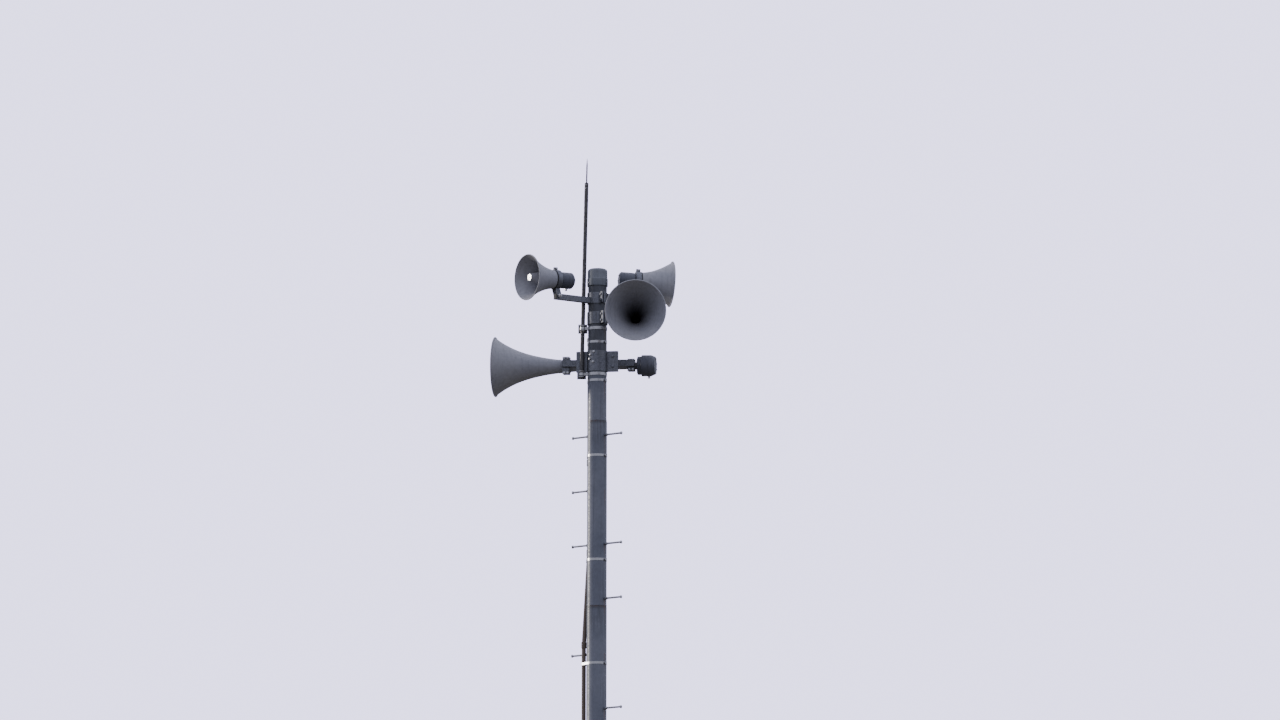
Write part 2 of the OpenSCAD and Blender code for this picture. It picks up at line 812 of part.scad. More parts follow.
module long_driver() {
    neck_r = long_r(long_horn_l) + 14;
    adapter_r = long_driver_r - 12;
    adapter_l = 40;
    front_bevel = 6;
    back_bevel = 16;
    back_l = 36;
    d0 = long_horn_l;
    d1 = long_horn_l + long_driver_l;
    color(dark_steel)
        long_axis()
            rotate_extrude()
                polygon([[0, d0], [neck_r, d0], [neck_r, d0 + front_bevel],
                         [adapter_r - front_bevel, d0 + front_bevel],
                         [adapter_r, d0 + 2 * front_bevel], [adapter_r, d0 + adapter_l],
                         [long_driver_r, d0 + adapter_l + front_bevel], [long_driver_r, d1 - back_l],
                         [long_driver_r - back_bevel, d1], [0, d1]]);
}

// The room that the flare and the tube take in what holds them
module long_room() {
    long_axis() rotate_extrude() long_wall(0, flare_split, false, seat_gap);
    long_axis() rotate_extrude() long_wall(flare_split, long_horn_l, false, seat_gap);
}

// A channel along the horn, with a saddle at each end that the horn lies in
module long_cradle() {
    color(steel)
        difference() {
            union() {
                difference() {
                    translate([cradle_forward - cradle_l / 2, channel_gap, -cradle_h / 2])
                        cube([cradle_l, channel_depth, cradle_h]);
                    translate([cradle_forward - cradle_l / 2 - over, channel_gap + channel_t,
                               -cradle_h / 2 + channel_t])
                        cube([cradle_l + 2 * over, channel_depth, cradle_h - 2 * channel_t]);
                }
                for (x = saddle_xs) {
                    r = long_r(long_mouth_x - x);
                    translate([x - saddle_w / 2, channel_gap + channel_depth - over,
                               long_axis_z - r - saddle_lug])
                        cube([saddle_w, saddle_plate_t, 2 * (r + saddle_lug)]);
                    translate([x - saddle_w / 2, channel_gap + channel_depth, long_axis_z - r - 4])
                        cube([saddle_w, long_axis_y - channel_gap - channel_depth - 6, 2 * (r + 4)]);
                }
            }
            long_room();
            rotate([-90, 0, 0]) cylinder(r = pivot_bolt_d / 2 + pin_gap, h = channel_t + channel_gap + over);
        }
}

// A strap over the horn at each saddle, with a lug above and below
module long_saddle_straps() {
    strap = 5;
    side = long_mouth_r;
    color(steel)
        difference() {
            for (x = saddle_xs) {
                r = long_r(long_mouth_x - x);
                translate([x - saddle_w / 2, long_axis_y - strap, long_axis_z]) {
                    translate([0, strap, 0]) rotate([0, 90, 0]) cylinder(r = r + strap, h = saddle_w);
                    translate([0, 0, -r - saddle_lug]) cube([saddle_w, strap, 2 * (r + saddle_lug)]);
                }
            }
            translate([-cradle_l, long_axis_y - strap - side, long_axis_z - side])
                cube([2 * cradle_l, side, 2 * side]);
            long_room();
        }
}

module front_flare() at_front() long_flare();
module front_tube() at_front() long_tube();
module front_driver() at_front() long_driver();
module front_cradle() at_front() long_cradle();
module front_saddle_straps() at_front() long_saddle_straps();
module rear_flare() at_rear() long_flare();
module rear_tube() at_rear() long_tube();
module rear_driver() at_rear() long_driver();
module rear_cradle() at_rear() long_cradle();
module rear_saddle_straps() at_rear() long_saddle_straps();

base_plate();
base_gussets();
mast_section(1);  // mast_section_1
mast_section(2);  // mast_section_2
mast_section(3);  // mast_section_3
mast_section(4);  // mast_section_4
mast_section(5);  // mast_section_5
mast_section(6);  // mast_section_6
mast_section(7);  // mast_section_7
mast_section(8);  // mast_section_8
mast_cap();
step_bolts();
conduit();
conduit_bands();
rod_pipe();
rod_needle();
rod_brackets();
left_arm();
right_arm();
front_arm();
front_clamp();
rear_arm();
rear_clamp();
pivot_bolts();
left_bell();
left_throat();
left_bullet();
left_driver();
left_strap();
right_bell();
right_throat();
right_bullet();
right_driver();
right_strap();
front_flare();
front_tube();
front_driver();
front_cradle();
front_saddle_straps();
rear_flare();
rear_tube();
rear_driver();
rear_cradle();
rear_saddle_straps();
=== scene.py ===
"""Dresses the civil defense siren tower: its horns, drivers, fasteners, welds, finishes, light and camera.

Metres, with Z up. The front horn faces -Y, and the mast's axis is the Z axis.
"""

import logging
import math
from collections.abc import Callable, Iterable, Sequence
from dataclasses import dataclass
from enum import Enum

import bmesh
import bpy
from bmesh.types import BMEdge, BMFace, BMVert
from mathutils import Matrix, Vector


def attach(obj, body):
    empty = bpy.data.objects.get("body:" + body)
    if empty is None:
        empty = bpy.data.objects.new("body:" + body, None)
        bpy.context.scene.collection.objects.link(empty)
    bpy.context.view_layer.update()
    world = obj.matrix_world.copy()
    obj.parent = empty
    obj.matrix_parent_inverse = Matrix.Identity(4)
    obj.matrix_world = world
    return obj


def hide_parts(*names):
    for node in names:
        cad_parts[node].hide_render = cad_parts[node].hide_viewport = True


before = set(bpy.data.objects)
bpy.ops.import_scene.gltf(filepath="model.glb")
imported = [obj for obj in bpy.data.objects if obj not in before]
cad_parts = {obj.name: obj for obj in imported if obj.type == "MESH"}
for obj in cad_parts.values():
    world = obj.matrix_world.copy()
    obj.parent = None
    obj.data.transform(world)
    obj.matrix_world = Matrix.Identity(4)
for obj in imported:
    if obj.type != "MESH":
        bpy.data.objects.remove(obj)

LOG = logging.getLogger("siren_tower")
MM = 0.001
FULL_TURN = 360.0
CREASE = 32.0
JOINT_Z = 11235 * MM
JOINT_PITCH = 1530 * MM
STEP_Z = 11114 * MM
STEP_PITCH = 450 * MM
STEP_YAW = 37.0
CLAMP_R = 84.8 * MM
ARM_W = 46 * MM
# Sockets of a Mix node that mixes colours
MIX_SHARE, MIX_FIRST, MIX_SECOND, MIX_RESULT = 0, 6, 7, 2

Colour = tuple[float, float, float]
Outline = list[tuple[float, float]]
Socket = bpy.types.NodeSocket
Setting = float | Colour | Socket


class Body(Enum):
    """The bodies that the pieces ride on."""

    MAST = "mast"
    LEFT = "left_horn"
    RIGHT = "right_horn"
    FRONT = "front_horn"
    REAR = "rear_horn"


class Slot(Enum):
    """The record's material slots."""

    MAST = "mast_paint"
    CAP = "cap_paint"
    ZINC = "galvanized_steel"
    STAINLESS = "stainless_steel"
    CONDUIT = "conduit_plastic"
    HORN = "horn_paint"
    DRIVER = "driver_paint"


def moved(x: float, y: float, z: float) -> Matrix:
    """A shift by x, y and z."""
    return Matrix.Translation((x, y, z))


def turned(axis: str, degrees: float) -> Matrix:
    """A turn round the X, Y or Z axis."""
    return Matrix.Rotation(math.radians(degrees), 4, axis)


def mast_frame(heading: float, z: float) -> Matrix:
    """A frame on the mast's axis at height z, with its X axis along the heading."""
    return moved(0, 0, z) @ turned("Z", heading)


def ringed(count: int, radius: float, z: float, start: float = 0.0) -> list[Matrix]:
    """Places at even steps on a ring round the Z axis, each with its X axis outwards."""
    return [turned("Z", start + FULL_TURN * i / count) @ moved(radius, 0, z) for i in range(count)]


# Turns that lay a piece's Z axis along X, against X and along Y
ALONG_X = turned("Y", 90)
AGAINST_X = turned("Y", -90)
ALONG_Y = turned("X", -90)
# Turn round a horn's axis that brings X to its underside
UNDERSIDE = turned("Z", 180)
# One place, where the piece was shaped
HERE = (Matrix(),)


def paint(red: int, green: int, blue: int) -> Colour:
    """Turns an sRGB colour, with parts of 0 to 255, into the linear one that a shader takes."""
    shares = (part / 255 for part in (red, green, blue))
    return tuple(s / 12.92 if s <= 0.04045 else ((s + 0.055) / 1.055) ** 2.4 for s in shares)


def added(name: str, data: bpy.types.ID) -> bpy.types.Object:
    """Adds an object to the scene.

    Args:
        name: Its name.
        data: Its mesh, light or camera.

    Returns:
        The object.
    """
    made = bpy.data.objects.new(name, data)
    bpy.context.scene.collection.objects.link(made)
    return made


# Finishes


class Nodes:
    """A node tree that is being built."""

    def __init__(self, tree: bpy.types.NodeTree) -> None:
        """Starts on a tree."""
        self.tree = tree

    def add(self, kind: str, *values: Setting, **settings: str) -> bpy.types.Node:
        """Adds a node.

        Args:
            kind: The node's type.
            values: What its first inputs are fed.
            settings: Properties to set on it.

        Returns:
            The node.
        """
        made = self.tree.nodes.new(kind)
        for name, value in settings.items():
            setattr(made, name, value)
        for socket, value in zip(made.inputs, values):
            self.feed(socket, value)
        return made

    def feed(self, socket: Socket, value: Setting) -> None:
        """Links a socket to another, or sets its plain value.

        Args:
            socket: The input.
            value: An output to link, or a number or colour to set.
        """
        if isinstance(value, Socket):
            self.tree.links.new(value, socket)
        else:
            socket.default_value = (*value, 1.0) if isinstance(value, tuple) else value

    def parts(self, vector: Socket) -> list[Socket]:
        """Splits a vector into its three parts."""
        return list(self.add("ShaderNodeSeparateXYZ", vector).outputs)

    def span(self, value: Socket, low: float, high: float, *results: float) -> Socket:
        """Maps the range from low to high smoothly to 0 and 1, or to the two results that are given."""
        values = (value, low, high, *(results or (0.0, 1.0)))
        return self.add("ShaderNodeMapRange", *values, interpolation_type="SMOOTHSTEP").outputs[0]

    def maths(self, operation: str, a: Setting, b: Setting = 0.0) -> Socket:
        """Joins two values by an operation of the Math node."""
        return self.add("ShaderNodeMath", a, b, operation=operation).outputs[0]

    def layered(self, below: Setting, above: Setting, share: Socket, *factors: Setting) -> Socket:
        """Lays one colour over another.

        Args:
            below: The colour underneath.
            above: The colour on top.
            share: How much of the top one shows.
            factors: Values that the share is multiplied by.

        Returns:
            The mixed colour.
        """
        for factor in factors:
            share = self.maths("MULTIPLY", share, factor)
        made = self.add("ShaderNodeMix", data_type="RGBA")
        for index, value in ((MIX_SHARE, share), (MIX_FIRST, below), (MIX_SECOND, above)):
            self.feed(made.inputs[index], value)
        return made.outputs[MIX_RESULT]


class Graph(Nodes):
    """The node tree of one finish, on Object coordinates."""

    def __init__(self, name: str) -> None:
        """Starts a material.

        Args:
            name: The material's name.
        """
        self.material = bpy.data.materials.new(name)
        self.material.use_nodes = True
        super().__init__(self.material.node_tree)
        self.shader = self.tree.nodes["Principled BSDF"]
        self.position = self.add("ShaderNodeTexCoord").outputs["Object"]

    def stretched(self, scale: Sequence[float], yaw: float = 0.0) -> Socket:
        """Scales the pattern's coordinates and turns them round Z.

        Args:
            scale: Scale along X, Y and Z.
            yaw: Turn round Z, in degrees.

        Returns:
            The new coordinates.
        """
        mapping = self.add("ShaderNodeMapping", self.position)
        mapping.inputs["Scale"].default_value = scale
        mapping.inputs["Rotation"].default_value = (0, 0, math.radians(yaw))
        return mapping.outputs["Vector"]

    def noise(
        self, scale: float, stretch: Sequence[float] = (1, 1, 1), detail: float = 2.0, roughness: float = 0.55
    ) -> Socket:
        """Adds a noise pattern.

        Args:
            scale: Repeats per metre.
            stretch: Further scale along each axis.
            detail: Octaves.
            roughness: Strength of the finer octaves.

        Returns:
            The pattern, from 0 to 1.
        """
        made = self.add("ShaderNodeTexNoise", self.stretched(stretch))
        for name, value in (("Scale", scale), ("Detail", detail), ("Roughness", roughness)):
            self.feed(made.inputs[name], value)
        return made.outputs[0]

    def cloud(self, scale: float, low: float, high: float, **settings: float | Sequence[float]) -> Socket:
        """Adds noise, with the settings of noise, whose values from low to high become 0 to 1."""
        return self.span(self.noise(scale, **{"detail": 4.0, **settings}), low, high)

    def streaks(self, across: float, along: float, low: float, high: float, **settings: float) -> Socket:
        """Adds noise as cloud does, with its repeats per metre across and along streaks that run down."""
        return self.cloud(1, low, high, stretch=(across, across, along), **settings)

    def cells(self, scale: float) -> Socket:
        """Adds a pattern of cells, each with a random value of its own.

        Args:
            scale: Cells per metre.

        Returns:
            The pattern, from 0 to 1.
        """
        made = self.add("ShaderNodeTexVoronoi", self.position)
        self.feed(made.inputs["Scale"], scale)
        return self.parts(made.outputs["Color"])[0]

    def upward(self) -> Socket:
        """How far the surface faces up, from -1 to 1."""
        return self.parts(self.add("ShaderNodeNewGeometry").outputs["Normal"])[2]

    def relief(self, *layers: tuple[Socket, float]) -> None:
        """Gives the surface a relief.

        Args:
            layers: Pairs of a pattern from 0 to 1 and its height in metres.
        """
        normal = self.shader.inputs["Normal"]
        for pattern, height in reversed(layers):
            made = self.add("ShaderNodeBump")
            self.feed(made.inputs["Strength"], 1.0)
            self.feed(made.inputs["Distance"], height)
            self.feed(made.inputs["Height"], pattern)
            self.feed(normal, made.outputs["Normal"])
            normal = made.inputs["Normal"]

    def set(self, **inputs: Setting) -> None:
        """Sets or links the shader's inputs.

        Args:
            inputs: Values by input name, with an underscore for each space.
        """
        for name, value in inputs.items():
            self.feed(self.shader.inputs[name.replace("_", " ")], value)


@dataclass(frozen=True)
class Finish:
    """A finish of the tower, made once and shared."""

    name: str
    slot: Slot

    def material(self) -> bpy.types.Material:
        """The finish's material, built the first time it is asked for.

        Returns:
            The material.
        """
        found = bpy.data.materials.get(self.name)
        if found is None:
            graph = Graph(self.name)
            self.build(graph)
            found = graph.material
        return found

    def build(self, graph: Graph) -> None:
        """Sets up the material's nodes. Each kind of finish has its own way."""
        raise NotImplementedError


@dataclass(frozen=True)
class Paint(Finish):
    """Outdoor paint with fading, rain streaks, dust and rust spots."""

    fresh: Colour
    faded: Colour
    grime_and_shade: Colour
    rust: float
    roughness: float = 0.5
    streaks: float = 0.35
    streak_size: float = 55.0
    dust: float = 0.25

    def coat(self, graph: Graph) -> Socket:
        """Mixes the paint's colour.

        Args:
            graph: The node tree.

        Returns:
            The colour.
        """
        patches = graph.cloud(2.1, 0.38, 0.64)
        colour = graph.layered(self.fresh, self.faded, patches)
        mottle = graph.cloud(34, 0.35, 0.7, detail=5)
        colour = graph.layered(colour, self.grime_and_shade, mottle, 0.16)
        runs = graph.streaks(self.streak_size, 1.7, 0.5, 0.74, detail=5, roughness=0.6)
        colour = graph.layered(colour, self.grime_and_shade, runs, self.streaks)
        lying = graph.span(graph.upward(), 0.35, 0.95)
        colour = graph.layered(colour, DUST, lying, graph.cloud(18, 0.25, 0.75), self.dust)
        spots = graph.cloud(75, 0.69, 0.76, detail=6, roughness=0.7)
        return graph.layered(colour, RUST, spots, graph.cloud(5, 0.45, 0.7, detail=3), self.rust)

    def build(self, graph: Graph) -> None:
        """Sets up the paint, slightly uneven in gloss and surface.

        Args:
            graph: The node tree.
        """
        grain = graph.noise(60, detail=4)
        graph.set(
            Base_Color=self.coat(graph),
            Roughness=graph.span(grain, 0.3, 0.7, self.roughness - 0.07, self.roughness + 0.1),
            Specular_IOR_Level=0.45,
        )
        graph.relief((graph.noise(7), 0.6 * MM), (graph.noise(900), 0.02 * MM))


@dataclass(frozen=True)
class MastPaint(Paint):
    """The mast's paint, with dirt streaks and a painted shadow band under each joint, darker in blotches at
    the head, and rust below the step bolts.

    Each reach holds two distances below a joint or bolt: where the stain ends and where it is full.
    """

    stain_reach: tuple[float, float] = (320 * MM, 0)
    # Painted shadow: reach of the dark band just under each joint's lip
    shade_reach: tuple[float, float] = (40 * MM, 8 * MM)
    rust_reach: tuple[float, float] = (24 * MM, 6 * MM)
    run_reach: tuple[float, float] = (260 * MM, 10 * MM)
    run_half_w: tuple[float, float] = (13 * MM, 3 * MM)
    head_dark_z: tuple[float, float] = (11550 * MM, 11800 * MM)

    def coat(self, graph: Graph) -> Socket:
        """Mixes the mast's colour.

        Args:
            graph: The node tree.

        Returns:
            The colour.
        """
        colour = super().coat(graph)
        height = graph.parts(graph.position)[2]
        under_joint, under_bolt = (
            graph.maths("FLOORED_MODULO", graph.maths("SUBTRACT", top, height), pitch)
            for top, pitch in ((JOINT_Z, JOINT_PITCH), (STEP_Z, STEP_PITCH))
        )
        drips = graph.streaks(85, 4, 0.4, 0.65, detail=5)
        colour = graph.layered(colour, self.grime_and_shade, graph.span(under_joint, *self.stain_reach), drips, 0.55)
        # Painted shadow: a dark band in the grime colour just under each joint's lip, where the lip's shadow
        # falls
        colour = graph.layered(colour, self.grime_and_shade, graph.span(under_joint, *self.shade_reach), 0.65)
        edge = graph.span(under_joint, *self.rust_reach)
        colour = graph.layered(colour, RUST, edge, graph.cloud(40, 0.4, 0.62), 0.22)
        across = graph.parts(graph.stretched((1, 1, 1), STEP_YAW))[1]
        line = graph.span(graph.maths("ABSOLUTE", across), *self.run_half_w)
        run = graph.span(under_bolt, *self.run_reach)
        colour = graph.layered(colour, RUST, line, run, graph.streaks(160, 9, 0.35, 0.7), 0.6)
        # Darker in blotches over the head, from 11.55 m up to the cap
        head_blotches = graph.span(graph.noise(16, (1, 1, 0.4), 5), 0.2, 0.62, 0.35, 0.85)
        return graph.layered(colour, self.grime_and_shade, graph.span(height, *self.head_dark_z), head_blotches)


@dataclass(frozen=True)
class Zinc(Finish):
    """Dull hot-dip galvanised steel with its spangle and white bloom."""

    bright: Colour
    dull: Colour
    bloom: Colour
    spangle: float = 180.0

    def build(self, graph: Graph) -> None:
        """Sets up the zinc with its flakes, bloom, dirt and first rust.

        Args:
            graph: The node tree.
        """
        flake = graph.cells(self.spangle)
        bloom = graph.cloud(14, 0.35, 0.7, detail=5)
        colour = graph.layered(self.bright, self.dull, flake)
        colour = graph.layered(colour, self.bloom, bloom, 0.5)
        colour = graph.layered(colour, GRIME, graph.streaks(60, 4, 0.55, 0.75), 0.4)
        spots = graph.cloud(90, 0.7, 0.78, detail=6, roughness=0.7)
        graph.set(
            Base_Color=graph.layered(colour, RUST, spots, 0.7),
            Metallic=graph.span(bloom, 0.0, 1.0, 0.8, 0.35),
            Roughness=graph.span(flake, 0.0, 1.0, 0.42, 0.6),
        )
        graph.relief((graph.noise(25, detail=3), 0.25 * MM), (graph.noise(700), 0.03 * MM))


@dataclass(frozen=True)
class Stainless(Finish):
    """Bright stainless steel with a fine grain and a little tea staining."""

    colour: Colour
    stain: Colour
    roughness: float = 0.32

    def build(self, graph: Graph) -> None:
        """Sets up the steel with its grain and stains.

        Args:
            graph: The node tree.
        """
        stain = graph.cloud(30, 0.52, 0.72, detail=5, roughness=0.65)
        brushed = graph.noise(1, (90, 90, 2400))
        graph.set(
            Base_Color=graph.layered(self.colour, self.stain, stain, 0.55),
            Metallic=1.0,
            Roughness=graph.span(brushed, 0.3, 0.7, self.roughness - 0.06, self.roughness + 0.12),
        )
        graph.relief((brushed, 0.008 * MM), (graph.noise(20), 0.1 * MM))


@dataclass(frozen=True)
class Plastic(Finish):
    """Weathered plastic with a chalky bloom and fine scratches."""

    colour: Colour
    chalk: Colour
    bloom: float = 0.3
    roughness: float = 0.55

    def build(self, graph: Graph) -> None:
        """Sets up the plastic with its bloom and scratches.

        Args:
            graph: The node tree.
        """
        chalk = graph.cloud(6, 0.4, 0.72, stretch=(1, 1, 0.5), detail=5)
        scratch = graph.streaks(500, 14, 0.6, 0.75, detail=3)
        share = graph.maths("MAXIMUM", chalk, graph.maths("MULTIPLY", scratch, 0.6))
        graph.set(
            Base_Color=graph.layered(self.colour, self.chalk, share, self.bloom),
            Roughness=graph.span(chalk, 0.0, 1.0, self.roughness, self.roughness + 0.2),
        )
        graph.relief((scratch, 0.02 * MM), (graph.noise(500), 0.02 * MM))


@dataclass(frozen=True)
class FloorCoat(Finish):
    """The studio floor's pale matt coat."""

    colour: Colour
    shade: Colour

    def build(self, graph: Graph) -> None:
        """Sets up the coat, slightly uneven in colour.

        Args:
            graph: The node tree.
        """
        patches = graph.noise(0.4, detail=3)
        graph.set(Base_Color=graph.layered(self.colour, self.shade, patches), Roughness=0.9)


RUST = paint(112, 66, 40)
GRIME = paint(58, 58, 60)
DUST = paint(150, 146, 140)
MAST_PAINT = MastPaint(
    "mast_paint_blue_grey",
    Slot.MAST,
    fresh=paint(98, 102, 116),
    faded=paint(114, 117, 130),
    grime_and_shade=paint(56, 58, 64),
    rust=0.5,
    roughness=0.4,
    streaks=0.4,
)
CAP_PAINT = Paint(
    "cap_paint_grey",
    Slot.CAP,
    fresh=paint(88, 93, 103),
    faded=paint(112, 116, 124),
    grime_and_shade=paint(54, 56, 60),
    rust=0.8,
    streaks=0.5,
    dust=0.4,
)
HORN_PAINT = Paint(
    "horn_paint_light_grey",
    Slot.HORN,
    fresh=paint(142, 143, 153),
    faded=paint(155, 155, 162),
    grime_and_shade=paint(92, 94, 98),
    rust=0.25,
    roughness=0.46,
    streaks=0.32,
    streak_size=42.0,
    dust=0.3,
)
DRIVER_PAINT = Paint(
    "driver_paint_blue_grey",
    Slot.DRIVER,
    fresh=paint(74, 77, 90),
    faded=paint(94, 96, 108),
    grime_and_shade=paint(46, 48, 52),
    rust=0.6,
    roughness=0.44,
    dust=0.35,
)
ZINC = Zinc(
    "zinc_dull", Slot.ZINC, bright=paint(120, 122, 131), dull=paint(97, 99, 108), bloom=paint(111, 113, 119)
)
ROD_ZINC = Zinc(
    "zinc_rod_dark",
    Slot.ZINC,
    bright=paint(88, 86, 88),
    dull=paint(68, 67, 70),
    bloom=paint(79, 78, 80),
    spangle=60,
)
STAINLESS = Stainless(
    "stainless_bright", Slot.STAINLESS, colour=paint(180, 180, 184), stain=paint(122, 106, 92)
)
CONDUIT = Plastic("conduit_brown", Slot.CONDUIT, colour=paint(90, 77, 69), chalk=paint(126, 116, 108))
RUBBER = Plastic(
    "plug_grey", Slot.CONDUIT, colour=paint(58, 60, 66), chalk=paint(98, 100, 106), roughness=0.7
)
LINER = Plastic(
    "liner_black", Slot.CONDUIT, colour=paint(30, 30, 33), chalk=paint(66, 67, 71), roughness=0.75
)
FLOOR = FloorCoat("floor_pale", Slot.MAST, colour=paint(238, 238, 240), shade=paint(230, 230, 233))
SLOT_FINISHES = (MAST_PAINT, CAP_PAINT, ZINC, STAINLESS, CONDUIT, HORN_PAINT, DRIVER_PAINT)
FINISH_OF_SLOT = {finish.slot: finish for finish in SLOT_FINISHES}
FINISH_OF_NODE = {"rod_pipe": ROD_ZINC, "rod_needle": ROD_ZINC}


# Shaping


def arc(centre: tuple[float, float], radius: float, start: float, end: float, steps: int) -> Outline:
    """Points along an arc of an outline, from one angle to another, in degrees, with a number of steps."""
    angles = (math.radians(start + (end - start) * i / steps) for i in range(steps + 1))
    return [(centre[0] + radius * math.cos(a), centre[1] + radius * math.sin(a)) for a in angles]


def spread(start: float, end: float, steps: int, power: float = 1.0) -> list[float]:
    """Values from start to end, which lie closer at the start where the power is over 1."""
    return [start + (end - start) * (i / steps) ** power for i in range(steps + 1)]


def walls(profile: Callable[[float], float], depths: Sequence[float], wall: float) -> tuple[Outline, Outline]:
    """Outlines of a wall at some depths: the inner from back to front, the outer from front to back."""
    return [(profile(d) - wall, d) for d in reversed(depths)], [(profile(d), d) for d in depths]


class Blank:
    """A piece of metal or plastic that is being shaped, in metres."""

    def __init__(self) -> None:
        """Starts with nothing."""
        self.bm = bmesh.new()

    @classmethod
    def lathed(cls, outline: Outline, steps: int) -> "Blank":
        """Turns an outline round the Z axis.

        Args:
            outline: Points of radius and height. One that starts on the axis ends there too,
                and the last point of any other joins the first.
            steps: Sides round the axis.

        Returns:
            The turned piece.
        """
        made = cls()
        verts = [made.bm.verts.new((radius, 0.0, z)) for radius, z in outline]
        pairs = list(zip(verts, verts[1:]))
        if outline[0][0] > 0:
            pairs.append((verts[-1], verts[0]))
        edges = [made.bm.edges.new(pair) for pair in pairs]
        bmesh.ops.spin(
            made.bm,
            geom=verts + edges,
            cent=(0, 0, 0),
            axis=(0, 0, 1),
            angle=math.radians(FULL_TURN),
            steps=steps,
            use_merge=True,
        )
        return made.healed()

    @classmethod
    def bar(cls, radius: float, length: float, sides: int, edge: float = 0.0) -> "Blank":
        """A bar that stands on the XY plane, with both its ends chamfered.

        Args:
            radius: Radius to its corners.
            length: Its length.
            sides: Number of sides.
            edge: Width of the chamfer.

        Returns:
            The bar.
        """
        made = cls()
        bmesh.ops.create_cone(
            made.bm,
            cap_ends=True,
            segments=sides,
            radius1=radius,
            radius2=radius,
            depth=length,
            matrix=moved(0, 0, length / 2),
        )
        rims = [e for e in made.bm.edges if abs(e.verts[0].co.z - e.verts[1].co.z) < length / 2]
        return made.bevelled(edge, rims)

    @classmethod
    def block(cls, x: float, y: float, z: float, edge: float) -> "Blank":
        """A block round the origin with all its edges eased.

        Args:
            x: Size along X.
            y: Size along Y.
            z: Size along Z.
            edge: Width of the eased edges.

        Returns:
            The block.
        """
        made = cls()
        bmesh.ops.create_cube(made.bm, size=1.0, matrix=Matrix.Diagonal((x, y, z, 1)))
        return made.bevelled(edge, list(made.bm.edges))

    @classmethod
    def bent_rod(cls, radius: float, bend: float, leg: float) -> "Blank":
        """A rod bent to a U in the XZ plane, with its legs down to z = 0 and its bow above them.

        Args:
            radius: The rod's radius.
            bend: Radius of the bow, to the rod's middle.
            leg: Length of each straight leg.

        Returns:
            The bent rod.
        """
        made = cls()
        bmesh.ops.create_circle(made.bm, cap_ends=True, segments=12, radius=radius, matrix=moved(bend, 0, 0))
        top = made.drawn(list(made.bm.faces), leg)
        bow = bmesh.ops.spin(
            made.bm, geom=top, cent=(0, 0, leg), axis=(0, -1, 0), angle=math.radians(FULL_TURN / 2), steps=16
        )
        made.drawn([f for f in bow["geom_last"] if isinstance(f, BMFace)], -leg)
        return made.healed()

    def drawn(self, faces: list[BMFace], rise: float) -> list[BMFace]:
        """Draws faces out along Z.

        Args:
            faces: The faces.
            rise: How far they go up.

        Returns:
            The new end faces.
        """
        end = bmesh.ops.extrude_face_region(self.bm, geom=faces)["geom"]
        bmesh.ops.translate(self.bm, vec=(0, 0, rise), verts=[v for v in end if isinstance(v, BMVert)])
        return [f for f in end if isinstance(f, BMFace)]

    def bevelled(self, width: float, edges: list[BMEdge]) -> "Blank":
        """Eases edges, where a width is given.

        Args:
            width: Width of the bevel.
            edges: Edges to ease.

        Returns:
            This piece.
        """
        if width > 0:
            bmesh.ops.bevel(
                self.bm,
                geom=edges,
                offset=width,
                offset_type="OFFSET",
                affect="EDGES",
                segments=2,
                profile=0.5,
                material=-1,
                clamp_overlap=True,
            )
        return self

    def healed(self) -> "Blank":
        """Merges doubles and turns the faces outwards.

        Returns:
            This piece.
        """
        bmesh.ops.remove_doubles(self.bm, verts=self.bm.verts, dist=0.001 * MM)
        bmesh.ops.recalc_face_normals(self.bm, faces=self.bm.faces)
        return self

    def stamped(self, other: "Blank", places: Iterable[Matrix] = HERE) -> "Blank":
        """Adds copies of another piece.

        Args:
            other: The piece to copy.
            places: Where each copy goes.

        Returns:
            This piece.
        """
        pattern = bpy.data.meshes.new("pattern")
        other.bm.to_mesh(pattern)
        for place in places:
            stamp = pattern.copy()
            stamp.transform(place)
            if place.to_3x3().determinant() < 0:
                stamp.flip_normals()
            self.bm.from_mesh(stamp)
            bpy.data.meshes.remove(stamp)
        bpy.data.meshes.remove(pattern)
        return self

    def copied(self, places: Iterable[Matrix]) -> "Blank":
        """A piece made of copies of this one."""
        return Blank().stamped(self, places)

    def placed(self, place: Matrix) -> "Blank":
        """This piece alone, put in its place."""
        return self.copied([place])

    def linked(self, name: str, finish: Finish) -> bpy.types.Object:
        """Puts the piece into the scene with its finish.

        Args:
            name: The object's name.
            finish: Its finish.

        Returns:
            The object.
        """
        mesh = bpy.data.meshes.new(name)
        self.bm.to_mesh(mesh)
        self.bm.free()
        mesh.materials.append(finish.material())
        return added(name, mesh)

    def fitted(self, name: str, finish: Finish, body: Body = Body.MAST, replaces: Sequence[str] = ()) -> None:
        """Hands the piece over to the tower.

        Args:
            name: The piece's name.
            finish: Its finish.
            body: The body it rides on.
            replaces: The nodes that it stands for.
        """
        made = self.linked(name, finish)
        made.data.shade_smooth()
        made.data.set_sharp_from_angle(angle=math.radians(CREASE))
        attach(made, body.value)
        if replaces:
            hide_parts(*replaces)
        LOG.info("%s rides on %s with %d faces", name, body.value, len(made.data.polygons))


# Fasteners and welds


